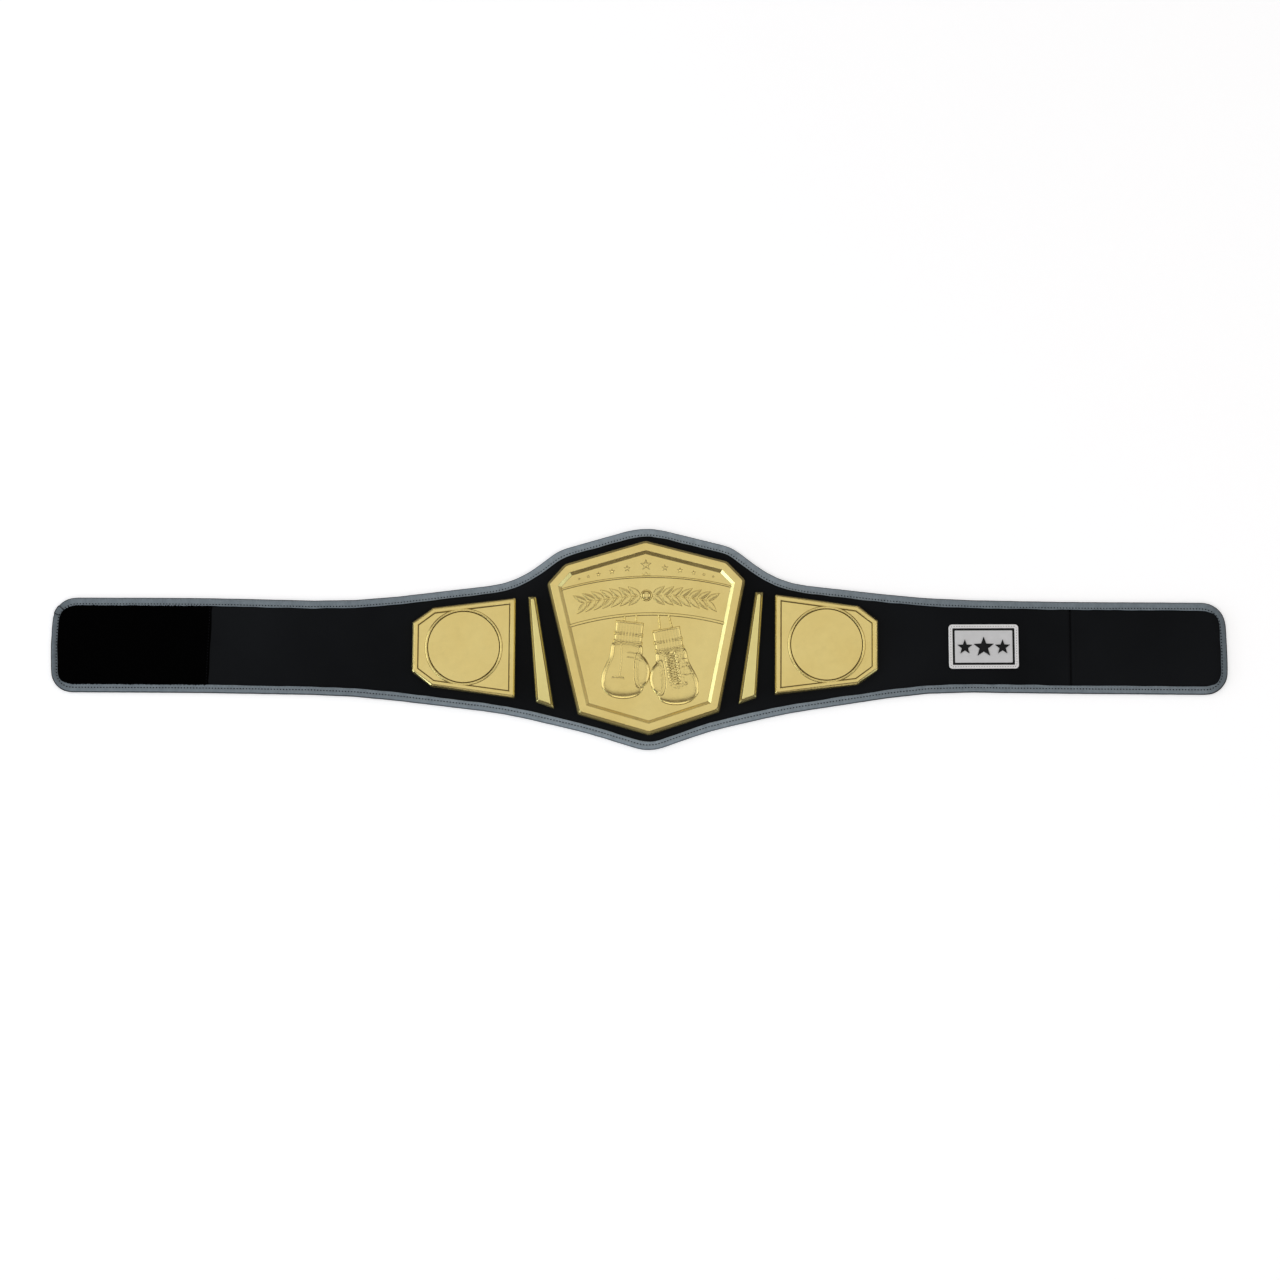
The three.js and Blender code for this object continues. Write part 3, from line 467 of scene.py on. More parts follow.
def outline_face(bm, loop, z=0.0):
    """A flat face on an outline, facing up."""
    face = bm.faces.new([bm.verts.new((x, y, z)) for x, y in loop])
    face.normal_update()
    if face.normal.z < 0:
        face.normal_flip()
    return face


def stepped(bm, face, steps, foot=0.0):
    """Draws a face in and up by each step in turn; the face itself ends as the innermost one.

    A step's third value, and foot for the outline, say how deep in a recess that edge lies, which is how much
    painted shade the gold gets there.
    """
    recess = bm.verts.layers.float["recess"]
    for v in face.verts:
        v[recess] = foot
    for inwards, up, *sunk in steps:
        bmesh.ops.inset_region(bm, faces=[face], thickness=max(inwards, 0.001), depth=up,
                               use_boundary=True, use_even_offset=True)
        for v in face.verts:
            v[recess] = sunk[0] if sunk else 0
    return face


def rounded_edges(bm, edges, width, segments=2):
    bmesh.ops.bevel(bm, geom=edges, offset=width, offset_type="OFFSET", segments=segments,
                    profile=0.5, affect="EDGES", clamp_overlap=True, material=-1)


def sharp_edges(bm, degrees=12):
    bm.normal_update()
    return [e for e in bm.edges if len(e.link_faces) == 2 and e.calc_face_angle(0) > math.radians(degrees)]


def is_level(edge):
    a, b = edge.verts
    return abs(a.co.z - b.co.z) < 0.01


def falls_inward(edge, middle):
    low, high = sorted(edge.verts, key=lambda v: v.co.z)
    return (low.co - middle).xy.length < (high.co - middle).xy.length


def plate_blank(loop, steps, width, corner, outside, foot=0.0):
    """A plate on its outline: closed underneath, its outer corners round and its other edges softened.

    The first steps, as many as outside says, make its outer wall and chamfer.
    """
    bm = casting()
    face = outline_face(bm, loop)
    middle = face.calc_center_median()
    stepped(bm, face, steps[:outside], foot)
    corners = [e for e in bm.edges if not is_level(e)]
    _, _, *sunk = steps[outside - 1]
    stepped(bm, face, steps[outside:], sunk[0] if sunk else 0)
    bmesh.ops.contextual_create(bm, geom=[e for e in bm.edges if e.is_boundary])
    bmesh.ops.recalc_face_normals(bm, faces=bm.faces)
    rounded_edges(bm, corners, corner, 3)
    recess = bm.verts.layers.float["recess"]
    soft = [e for e in sharp_edges(bm) if is_level(e) or falls_inward(e, middle)]
    rounded_edges(bm, [e for e in soft if all(v[recess] < 0.5 for v in e.verts)], width)
    return bm


def add_shape(bm, other):
    """Puts another shape's mesh into this one."""
    carrier = bpy.data.meshes.new("carrier")
    other.to_mesh(carrier)
    other.free()
    bm.from_mesh(carrier)
    bpy.data.meshes.remove(carrier)


def repeated(shape, places):
    """One small shape at many places."""
    pattern = bpy.data.meshes.new("pattern")
    shape.to_mesh(pattern)
    shape.free()
    bm = bmesh.new()
    for place in places:
        one = pattern.copy()
        one.transform(place)
        bm.from_mesh(one)
        bpy.data.meshes.remove(one)
    bpy.data.meshes.remove(pattern)
    return bm


# ---------------------------------------------------------------- the belt's outline

def widest_loop():
    """The binding's outermost line, walked round anticlockwise, in millimetres."""
    bm = bmesh.new()
    bm.from_mesh(solids["edge_binding"].data)
    bmesh.ops.scale(bm, vec=(1000, 1000, 1000), verts=bm.verts)
    bmesh.ops.remove_doubles(bm, verts=bm.verts, dist=1e-3)
    level = [e for e in bm.edges if all(abs(v.co.z - STRAP_MIDDLE) < 0.01 for v in e.verts)]
    links = {}
    for edge in level:
        a, b = edge.verts
        links.setdefault(a, []).append(b)
        links.setdefault(b, []).append(a)
    start = min(links, key=lambda v: v.co.x)
    line, last = [start], None
    while True:
        here = line[-1]
        ahead = [v for v in links[here] if v is not last]
        if not ahead or ahead[0] is start:
            break
        last = here
        line.append(ahead[0])
    points = np.array([v.co[:2] for v in line])
    bm.free()
    after = np.roll(points, -1, 0)
    if (points[:, 0] * after[:, 1] - points[:, 1] * after[:, 0]).sum() < 0:
        points = points[::-1]
    return points


def evenly(points, pitch, soften):
    """A closed line with its points set evenly, and its corners softened over so many millimetres."""
    closed = np.vstack([points, points[:1]])
    reach = np.concatenate([[0], np.cumsum(np.hypot(*np.diff(closed, axis=0).T))])
    count = int(round(reach[-1] / pitch))
    at = np.arange(count) * reach[-1] / count
    line = np.stack([np.interp(at, reach, closed[:, k]) for k in (0, 1)], 1)
    span = int(4 * soften / pitch)
    weights = np.exp(-0.5 * (np.arange(-span, span + 1) * pitch / soften) ** 2)
    weights /= weights.sum()
    wrapped = np.vstack([line[-span:], line, line[:span]])
    return np.stack([np.convolve(wrapped[:, k], weights, "valid") for k in (0, 1)], 1)


def inward(line):
    """Unit normals that point into a closed anticlockwise line."""
    along = np.roll(line, -1, 0) - np.roll(line, 1, 0)
    along /= np.hypot(*along.T)[:, None]
    return np.stack([-along[:, 1], along[:, 0]], 1)


def drawn_in(line, distance):
    return line + inward(line) * distance


EDGE_PITCH = 1.6
EDGE = evenly(widest_loop(), EDGE_PITCH, 2.6)
EDGE_IN = inward(EDGE)


def span_at(line, xs):
    """The lowest and highest y of a closed line at each x."""
    low, high = [], []
    ahead = np.roll(line, -1, 0)
    for x in xs:
        crossing = (line[:, 0] - x) * (ahead[:, 0] - x) <= 0
        a, b = line[crossing], ahead[crossing]
        width = np.where(np.abs(b[:, 0] - a[:, 0]) < 1e-9, 1e-9, b[:, 0] - a[:, 0])
        y = a[:, 1] + (b[:, 1] - a[:, 1]) * (x - a[:, 0]) / width
        low.append(y.min())
        high.append(y.max())
    return np.array(low), np.array(high)


def nearest(line, points):
    """How far each point is from a closed line's own points."""
    return np.array([np.hypot(*(line - p).T).min() for p in points])


def cloth(xs_of, line, rows, top_of, under_of):
    """A flat piece of cloth inside a line: columns at xs, rows from its low edge to its high one.

    xs_of gives the x of each column, the same for every row.
    """
    columns = len(xs_of)
    bm = bmesh.new()
    bmesh.ops.create_grid(bm, x_segments=columns - 1, y_segments=len(rows) - 1, size=1)
    low, high = span_at(line, xs_of)
    for v in bm.verts:
        i = round((v.co.x + 1) / 2 * (columns - 1))
        j = round((v.co.y + 1) / 2 * (len(rows) - 1))
        share, edge = rows[j]
        y = low[i] + (high[i] - low[i]) * share + edge * min(1, (high[i] - low[i]) / 60)
        v.co = (xs_of[i], y, 0)
    lower = list(bm.verts)
    raised = bmesh.ops.extrude_face_region(bm, geom=list(bm.faces), use_keep_orig=True)
    upper = [g for g in raised["geom"] if isinstance(g, bmesh.types.BMVert)]
    for verts, height in ((lower, under_of), (upper, top_of)):
        heights = height(np.array([v.co[:2] for v in verts]))
        for v, z in zip(verts, heights):
            v.co.z = z
    bmesh.ops.recalc_face_normals(bm, faces=bm.faces)
    return bm


def edge_rows(offsets, middle):
    """Rows at set distances from both edges and evenly between them.

    Each is a share of the cloth's height, and so many millimetres more.
    """
    shares = [k / (middle + 1) for k in range(1, middle + 1)]
    between = [(share, offsets[-1] * (1 - 2 * share)) for share in shares]
    return [(0, d) for d in offsets] + between + [(1, -d) for d in reversed(offsets)]


def smoothstep(t):
    t = np.clip(t, 0, 1)
    return t * t * (3 - 2 * t)


def waves(points, size, seed):
    return np.array([noise.noise(Vector((x / size, y / size, seed))) for x, y in points])


# ---------------------------------------------------------------- strap and its panels

def strap():
    line = drawn_in(EDGE, FABRIC_INSET)
    left, right = line[:, 0].min() + 0.05, line[:, 0].max() - 0.05
    ends = [0, 0.6, 1.4, 2.6, 4, 5.6, 6.8, 7.8, 8.8, 9.8, 11, 13, 16]
    crease = [CREASE_X + d for d in (-5, -3.4, -2.2, -1.5, -0.9, -0.4, 0, 0.4, 0.9, 1.5, 2.2, 3.4, 5)]
    middle = [x for x in np.arange(left + 20, right - 19, 4.0) if abs(x - CREASE_X) > 6.5]
    xs = np.array(sorted([left + d for d in ends] + [right - d for d in ends] + crease + middle))

    def lift(points):
        return smoothstep((nearest(EDGE, points) - 8.2) / 4.4)

    def top(points):
        x, y = points.T
        z = GRIPPED_TOP + (STRAP_TOP - GRIPPED_TOP) * lift(points)
        free = smoothstep((np.abs(x - PLATES_MIDDLE_X) - PLATES_REACH) / 40)
        z += waves(points, 58, 3.1) * (0.08 + 0.32 * free) * lift(points)
        off = x - CREASE_X
        z += 0.3 * np.exp(-((np.abs(off) - 3.2) / 1.5) ** 2) - CREASE_DEPTH * np.exp(-(off / 1.15) ** 2)
        return z

    def under(points):
        pocket = smoothstep((points[:, 0] - HOOK_EDGE_X + 1.5) / 1.2)
        pocket *= smoothstep((nearest(EDGE, points) - 8.0) / 1.2)
        gripped = 2 * STRAP_MIDDLE - GRIPPED_TOP
        plain = gripped + (STRAP_UNDER - gripped) * lift(points)
        return plain * (1 - pocket) + 1.7 * pocket

    rows = edge_rows([0, 3, 5.5, 6.6, 7.6, 8.6, 9.8, 11.4, 13.5], 13)
    bm = cloth(xs, line, rows, top, under)
    after = np.roll(line, -1, 0)
    area = (line[:, 0] * after[:, 1] - line[:, 1] * after[:, 0]).sum() / 2 * MM * MM
    size = [float(np.ptp(line[:, k])) * MM for k in (1, 0)]
    return finished("strap", bm, KNIT, ["strap_body"], sharp=60), size, float(area)


def loop_panel():
    line = drawn_in(EDGE, BINDING_WIDTH - FABRIC_INSET)
    left = line[:, 0].min() + 0.05
    xs = np.array([left + d for d in (0, 0.4, 1.0, 1.8, 2.8, 4)] +
                  list(np.arange(left + 5.4, LOOP_EDGE_X - 2, 1.5)) +
                  [LOOP_EDGE_X - d for d in (1, 0.4, 0)])
    rows = edge_rows([0, 0.6, 1.3, 2.1, 3.0], 54)

    def slant(points):
        """Sets the panel's free edge at its slant; the other columns keep their place."""
        x, y = points.T
        share = smoothstep((x - LOOP_EDGE_X + 40) / 40)
        return share * ((y + 6) * PILE_EDGE_SLANT + 0.25 * np.sin(y / 7))

    def top(points):
        x, y = points.T
        z = 5.0 + 0.1 * waves(points, 1.6, 8.2) + 0.1 * waves(points, 30, 1.2)
        z -= 0.6 * (1 - smoothstep((nearest(EDGE, points) - 6.6) / 2.4))
        return z - 0.7 * smoothstep((x - LOOP_EDGE_X + 1.1) / 1.1) ** 2

    bm = cloth(xs, line, rows, top, lambda points: np.full(len(points), 3.7))
    verts = list(bm.verts)
    for v, dx in zip(verts, slant(np.array([v.co[:2] for v in verts]))):
        v.co.x += dx
    return finished("pile_panel", bm, PILE, ["loop_panel"], sharp=60)


def hook_panel():
    line = drawn_in(EDGE, BINDING_WIDTH + 0.3)
    right = line[:, 0].max() - 0.05
    xs = np.array([HOOK_EDGE_X + d for d in (0, 0.4, 1)] +
                  list(np.arange(HOOK_EDGE_X + 4, right - 8, 4.0)) +
                  [right - d for d in (6, 4, 2.8, 1.8, 1.0, 0.4, 0)])
    bm = cloth(xs, line, edge_rows([0, 0.5, 1.2], 18),
               lambda points: np.full(len(points), 1.45), lambda points: np.full(len(points), 0.75))
    base = finished("hook_tape", bm, HOOKS, ["hook_panel"], sharp=40)

    hook = bmesh.new()
    bmesh.ops.create_circle(hook, segments=4, radius=0.14, cap_ends=True)
    bmesh.ops.recalc_face_normals(hook, faces=hook.faces)
    face = hook.faces[:][0]
    for reach, lean in ((0.28, 0), (0.2, 0.1), (0.12, 0.22), (-0.06, 0.2)):
        new = bmesh.ops.extrude_discrete_faces(hook, faces=[face])["faces"]
        face = new[0]
        bmesh.ops.translate(hook, verts=face.verts, vec=(lean, 0, -reach))
    places = []
    clear = drawn_in(EDGE, BINDING_WIDTH + 2.5)
    columns = np.arange(HOOK_EDGE_X + 3.5, clear[:, 0].max() - 1, 2.3)
    low, high = span_at(clear, columns)
    for k, x in enumerate(columns):
        for n, y in enumerate(np.arange(low[k], high[k], 2.3)):
            places.append(Matrix.Translation((x, y, 0.8)) @ Matrix.Rotation(math.pi * ((k + n) % 2), 4, "Z"))
    teeth = finished("hook_teeth", joined(repeated(hook, places)), HOOKS, sharp=50)
    return base, teeth


# ---------------------------------------------------------------- binding and its sewing

# Across the folded tape: how far in from the belt's edge, and how high
TAPE_SECTION = [
    (8.55, 4.35), (8.75, 4.6), (8.6, 4.95), (8.15, 5.1), (7.1, 5.08), (6.4, 4.84), (5.9, 4.68), (5.4, 4.84),
    (4.6, 5.1), (3.3, 5.2), (2.1, 5.08), (1.05, 4.6), (0.3, 3.7), (0, 2.6),
]
TAPE_INSIDE = [(2.2, 4.1), (1.15, 3.4), (0.9, 2.6)]


def tape_section(proud=0.0):
    """The whole section; proud lifts its upper side for a second layer of tape."""
    outer = [(d - proud * (d < 2), z) for d, z in TAPE_SECTION]
    top = [(d, z + proud * 0.9) for d, z in outer]
    under = [(d, 2 * STRAP_MIDDLE - z) for d, z in reversed(outer[:-1])]
    inside = TAPE_INSIDE + [(d, 2 * STRAP_MIDDLE - z) for d, z in reversed(TAPE_INSIDE[:-1])]
    return top + under + list(reversed(inside))


def swept(line, normals, section, closed, wobble=0.0):
    """A closed section carried along a line. Its UV map is in metres, along the tape and across it."""
    rows, around = len(line), len(section)
    steps = rows if closed else rows - 1
    bm = bmesh.new()
    bm.loops.layers.uv.new("tape")
    bmesh.ops.create_grid(bm, x_segments=steps, y_segments=around, size=1)
    sides = [math.dist(a, b) for a, b in zip(section, section[1:] + section[:1])]
    across = np.concatenate([[0], np.cumsum(sides)])
    spots = {}
    for v in bm.verts:
        i = round((v.co.x + 1) / 2 * steps)
        j = round((v.co.y + 1) / 2 * around)
        spots[v] = (i, j)
    along = np.concatenate([[0], np.cumsum(np.hypot(*np.diff(np.vstack([line, line[:1]]), axis=0).T))])
    uv = bm.loops.layers.uv["tape"]
    for face in bm.faces:
        for corner in face.loops:
            i, j = spots[corner.vert]
            corner[uv].uv = (along[i] * MM, across[j] * MM)
    drift = [noise.noise(Vector((p[0] / 17, p[1] / 17, 4.4))) for p in line]
    puff = [noise.noise(Vector((p[0] / 9, p[1] / 9, 7.7))) for p in line]
    for v, (i, j) in spots.items():
        d, z = section[j % around]
        p, n = line[i % rows], normals[i % rows]
        inner = max(0.0, (d - TAPE_LIP) / 2)
        ends = float(smoothstep((abs(p[0]) - BELT_END_X) / 10))
        d -= n[1] * SEAM_LEAN * max(0.0, 1 - abs(d - STITCH_INSET) / SEAM_REACH)
        d += wobble * (drift[i % rows] * inner + puff[i % rows] * 0.25 * (1 - inner))
        d -= inner * (0.2 + 1.5 * ends)
        if z > STRAP_MIDDLE:
            z = STRAP_MIDDLE + (z - STRAP_MIDDLE) * (1 + wobble * 0.07 * puff[i % rows])
        v.co = (p[0] + n[0] * d, p[1] + n[1] * d, z)
    bmesh.ops.remove_doubles(bm, verts=bm.verts, dist=1e-4)
    if not closed:
        bmesh.ops.holes_fill(bm, edges=[e for e in bm.edges if e.is_boundary])
    bmesh.ops.recalc_face_normals(bm, faces=bm.faces)
    return bm


def binding():
    return finished("binding", swept(EDGE, EDGE_IN, tape_section(), closed=True, wobble=0.5), TAPE,
                    ["edge_binding"], sharp=70)


def tape_join():
    """Where the tape's two ends overlap, at the top of the left end."""
    near = int(np.argmin(np.hypot(EDGE[:, 0] + 603, EDGE[:, 1] - 31)))
    run = [(near + k) % len(EDGE) for k in range(-3, 4)]
    bm = swept(EDGE[run], EDGE_IN[run], tape_section(proud=0.45), closed=False)
    lap = finished("tape_join", bm, TAPE, sharp=50)
    places = []
    for end in (run[0], run[-1]):
        line = [EDGE[end] + EDGE_IN[end] * d for d in (0.9, 8.2)]
        places += stitches_along(line, pitch=1.25, z=5.25, closed=False)
    return lap, sewing("tape_join_stitches", places, GREY_THREAD,
                       length=1.5, thickness=0.55)


def stitch_shape(length, thickness):
    """One stitch along X: a thread that rises out of the cloth and dips back."""
    bm = bmesh.new()
    bmesh.ops.create_circle(bm, segments=6, radius=thickness * 0.55, cap_ends=True)
    bmesh.ops.rotate(bm, verts=bm.verts, cent=(0, 0, 0), matrix=Matrix.Rotation(math.radians(90), 3, "Y"))
    bmesh.ops.translate(bm, verts=bm.verts, vec=(-length / 2, 0, -thickness * 1.3))
    face = bm.faces[:][0]
    for run, rise, grow in ((0.16, 1.0, 1.5), (0.22, 0.45, 1.2), (0.24, 0, 1),
                            (0.22, -0.45, 0.83), (0.16, -1.0, 0.6)):
        face = bmesh.ops.extrude_discrete_faces(bm, faces=[face])["faces"][0]
        bmesh.ops.translate(bm, verts=face.verts, vec=(length * run, 0, thickness * rise * 1.25))
        middle = face.calc_center_median()
        bmesh.ops.scale(bm, verts=face.verts, vec=(1, grow, grow), space=Matrix.Translation(-middle))
    bmesh.ops.remove_doubles(bm, verts=bm.verts, dist=1e-5)
    bmesh.ops.recalc_face_normals(bm, faces=bm.faces)
    return bm


def stitches_along(line, pitch, z, closed=True):
    """Places for stitches set evenly along a line, each turned to follow it."""
    points = np.vstack([line, line[:1]]) if closed else np.asarray(line, float)
    reach = np.concatenate([[0], np.cumsum(np.hypot(*np.diff(points, axis=0).T))])
    count = int(reach[-1] / pitch)
    at = (np.arange(count) + 0.5) * reach[-1] / count
    x, y = (np.interp(at, reach, points[:, k]) for k in (0, 1))
    ahead = [np.interp(np.minimum(at + 0.5, reach[-1]), reach, points[:, k]) for k in (0, 1)]
    turns = np.arctan2(ahead[1] - y, ahead[0] - x)
    rng = random.Random(11)
    return [Matrix.Translation((px, py, z)) @ Matrix.Rotation(turn + math.radians(rng.uniform(-4, 4)), 4, "Z")
            for px, py, turn in zip(x, y, turns)]


def sewing(name, places, finish, length=STITCH_LENGTH, thickness=THREAD):
    return finished(name, repeated(stitch_shape(length, thickness), places), finish, sharp=0)


def turned_over(places, z):
    """The same places on the back, facing down."""
    flip = Matrix.Rotation(math.pi, 4, "X")
    return [Matrix.Translation((*p.translation.xy, z)) @ p.to_3x3().to_4x4() @ flip for p in places]


def binding_sewing():
    seam = EDGE + EDGE_IN * (STITCH_INSET - SEAM_LEAN * EDGE_IN[:, 1:])
    front = stitches_along(seam, STITCH_PITCH, BINDING_SEAM_TOP)
    back = turned_over(front, BINDING_SEAM_UNDER)
    return sewing("binding_stitches", front + back, GREY_THREAD, thickness=BINDING_THREAD)


def crease_sewing():
    low, high = span_at(drawn_in(EDGE, BINDING_WIDTH + 0.6), np.array([CREASE_X]))
    line = [(CREASE_X, low[0]), (CREASE_X, high[0])]
    front = stitches_along(line, pitch=3.0, z=CREASE_SEAM_TOP, closed=False)
    back = turned_over([Matrix.Translation((1.6, 0, 0)) @ p for p in front], CREASE_SEAM_UNDER)
    return sewing("crease_stitches", front + back, BLACK_THREAD)


def pile_sewing():
    inner = drawn_in(EDGE, BINDING_WIDTH + 1)
    low, high = span_at(inner, np.array([LOOP_EDGE_X - 2.6]))
    line = [(LOOP_EDGE_X - 2.6 + (y + 6) * PILE_EDGE_SLANT, y) for y in np.linspace(low[0], high[0], 12)]
    return sewing("pile_stitches", stitches_along(line, pitch=3.0, z=5.04, closed=False), BLACK_THREAD)


def pile_tufts():
    """Small tufts of the pile that stand over the tape's inner edge at the left end."""
    rng = random.Random(5)
    line = drawn_in(EDGE, BINDING_WIDTH - 0.15)
    line = line[line[:, 0] < LOOP_EDGE_X - 3]
    tuft = bmesh.new()
    bmesh.ops.create_icosphere(tuft, subdivisions=1, radius=1)
    places = []
    for p in line:
        size = rng.uniform(0.35, 0.95)
        places.append(Matrix.Translation((p[0] + rng.uniform(-0.7, 0.7), p[1] + rng.uniform(-0.5, 0.5), 4.85)) @
                      Matrix.Diagonal((size * 1.2, size, 0.4, 1)))
    return finished("pile_tufts", repeated(tuft, places), PILE, sharp=0)


# ---------------------------------------------------------------- main plate

def banner_point(along, radius=BANNER_RADIUS):
    turn = along / BANNER_RADIUS
    return radius * math.sin(turn), BANNER_HEIGHT - BANNER_RADIUS + radius * math.cos(turn)


def star_loop(radius, x, y):
    return [(x + radius * (0.42 if k % 2 else 1) * math.cos(math.radians(90 + k * 36)),
             y + radius * (0.42 if k % 2 else 1) * math.sin(math.radians(90 + k * 36))) for k in range(10)]


def faceted_star(bm, radius, x, y):
    """A star whose ten facets rise to its middle."""
    face = stepped(bm, outline_face(bm, star_loop(radius, x, y), FIELD - 0.3),
                   [(0.02, 0.4, 1), (0.2 + radius * 0.04, 0.35, 0.5), (0.08, 0.04)], 1)
    bmesh.ops.poke(bm, faces=[face], offset=0.05 + radius * 0.09)


def leaf(root, degrees):
    """A laurel leaf: rounded shoulders, and two halves that fall to a midrib."""
    bm = casting()
    half = 9
    shares = [(k + 1) / (half + 1) for k in range(half)]
    side = [(LEAF_LENGTH * s, LEAF_WIDTH / 2 * math.sin(math.pi * s ** 0.8)) for s in shares]
    loop = [(0, 0)] + [(x, -y) for x, y in side] + [(LEAF_LENGTH, 0)] + [(x, y) for x, y in reversed(side)]
    face = outline_face(bm, loop, FIELD - 0.3)
    stepped(bm, face, [(0.02, 0.42, 1), (0.28, 0.42, 0.3), (0.2, 0.22), (0.35, 0.14)], 1)
    ends = sorted(face.verts, key=lambda v: v.co.x)
    rib = bmesh.ops.connect_vert_pair(bm, verts=[ends[0], ends[-1]])["edges"]
    for edge in rib:
        for v in edge.verts:
            v.co.z -= 0.05
    ribs = bmesh.ops.subdivide_edges(bm, edges=rib, cuts=3)["geom_inner"]
    for v in ribs:
        if isinstance(v, bmesh.types.BMVert):
            v.co.z -= 0.42
    turn = Matrix.Translation((*root, 0)) @ Matrix.Rotation(math.radians(degrees), 4, "Z")
    bmesh.ops.transform(bm, matrix=turn, verts=bm.verts)
    return bm


def garland(bm):
    pitch = (78.6 - BOSS_RADIUS - LEAF_LENGTH) / (LEAF_PAIRS - 1)
    for side in (1, -1):
        for k in range(LEAF_PAIRS):
            along = side * (BOSS_RADIUS + k * pitch)
            heading = -math.degrees(along / BANNER_RADIUS) + (180 if side < 0 else 0)
            for spread in (LEAF_SPREAD, -LEAF_SPREAD):
                add_shape(bm, leaf(banner_point(along), heading + spread))
    far = 78.6 - LEAF_LENGTH * 0.75
    for side in (1, -1):
        ends = [side * (BOSS_RADIUS - 1 + (far - BOSS_RADIUS) * k / 14) for k in range(15)]
        low = [banner_point(a, BANNER_RADIUS - 0.65) for a in ends]
        high = [banner_point(a, BANNER_RADIUS + 0.65) for a in ends]
        stepped(bm, outline_face(bm, low + high[::-1], FIELD - 0.3), [(0.02, 0.6, 1), (0.22, 0.35), (0.25, 0.1)], 1)


def boss(bm):
    middle = [(BOSS_RADIUS * math.cos(math.tau * k / 40), BANNER_HEIGHT + BOSS_RADIUS * math.sin(math.tau * k / 40))
              for k in range(40)]
    stepped(bm, outline_face(bm, middle, FIELD - 0.3), [
        (0.05, 0.5, 1), (0.45, 0.7), (0.3, 0.3), (0.35, 0.08), (0.3, -0.12), (0.25, -0.42, 0.8), (0.3, -0.05, 1),
        (0.2, 0.5, 0.5), (0.5, 0.42), (0.7, 0.28), (0.8, 0.16), (0.8, 0.06)], 1)


def rib(bm, offset, width):
    """A raised band along the banner, from one slope of the plate to the other."""
    reach = 84.0 if offset > 0 else 86.6
    edge = [reach * (2 * k / 36 - 1) for k in range(37)]
    low = [banner_point(a, BANNER_RADIUS + offset - width / 2) for a in edge]
    high = [banner_point(a, BANNER_RADIUS + offset + width / 2) for a in edge]
    stepped(bm, outline_face(bm, low + high[::-1], FIELD - 0.4),
            [(0.02, 0.45, 1), (0.42, 0.4, 0.9), (0.3, 0.38), (0.2, 0.06)], 1)


def crest(bm):
    low = BANNER_HEIGHT + BANNER_BAND / 2 + 0.9
    peaks = [(-0.5, 0), (0.5, 0), (0.55, 0.7), (0.25, 0.42), (0, 1.15), (-0.25, 0.42), (-0.55, 0.7)]
    loop = [(x * 8, low + y * 3.8) for x, y in peaks]
    stepped(bm, outline_face(bm, loop, FIELD - 0.3), [(0.02, 0.42, 1), (0.3, 0.5), (0.1, 0.1)], 1)


def main_plate():
    bm = plate_blank(MAIN_LOOP, MAIN_STEPS, width=0.45, corner=2.0, outside=5, foot=0.5)
    relief = casting()
    rib(relief, BANNER_BAND / 2, 2.4)
    rib(relief, -BANNER_BAND / 2, 3.4)
    garland(relief)
    boss(relief)
    crest(relief)
    faceted_star(relief, MIDDLE_STAR, 0, STAR_ROW)
    for along, drop, size in ((3.5, 0.6, 0.7), (6.3, 1.1, 0.58), (8.8, 1.6, 0.48),
                              (10.7, 2, 0.36), (12.4, 2.4, 0.3)):
        for side in (1, -1):
            faceted_star(relief, STAR_RADIUS * size, side * along * STAR_RADIUS, STAR_ROW - drop * STAR_RADIUS)
    add_shape(bm, relief)
    return finished("main_plate_gold", seated(bm, MAIN_PLACE), GOLD, ["main_plate"], sharp=45, level=True)


# ---------------------------------------------------------------- the hanging gloves

MITT = [(-0.3, 0), (-0.38, -0.28), (-0.5, -0.6), (-0.46, -0.86), (-0.2, -1), (0.16, -0.99),
        (0.42, -0.86), (0.46, -0.58), (0.37, -0.28), (0.28, 0)]
THUMB = [(0.22, -0.2), (0.42, -0.24), (0.56, -0.44), (0.53, -0.68), (0.36, -0.78), (0.24, -0.62)]


def smooth_loop(rows, count=8):
    """A closed curve through the rows, in the glove's own millimetres."""
    rows = np.array([(x * GLOVE_WIDTH, y * GLOVE_LENGTH) for x, y in rows])
    line = []
    for k in range(len(rows)):
        a, b, c, d = (rows[(k + n) % len(rows)] for n in (-1, 0, 1, 2))
        for t in np.arange(count) / count:
            line.append(0.5 * (2 * b + (c - a) * t + (2 * a - 5 * b + 4 * c - d) * t ** 2 +
                               (3 * b - a - 3 * c + d) * t ** 3))
    return np.array(line)


def depth_in(loop, u, v):
    """How far inside a closed line each point is; outside it is negative."""
    best = np.full(u.shape, 1e9)
    inside = np.zeros(u.shape, bool)
    for a, b in zip(loop, np.roll(loop, -1, 0)):
        run = b - a
        t = np.clip(((u - a[0]) * run[0] + (v - a[1]) * run[1]) / (run @ run), 0, 1)
        best = np.minimum(best, np.hypot(u - a[0] - t * run[0], v - a[1] - t * run[1]))
        if run[1]:
            crosses = (a[1] > v) != (b[1] > v)
            inside ^= crosses & (u < a[0] + (v - a[1]) / run[1] * run[0])
    return np.where(inside, best, -best)


def from_line(u, v, a, b):
    """How far each point is from a straight stretch."""
    run = np.array(b, float) - np.array(a, float)
    t = np.clip(((u - a[0]) * run[0] + (v - a[1]) * run[1]) / (run @ run), 0, 1)
    return np.hypot(u - a[0] - t * run[0], v - a[1] - t * run[1])


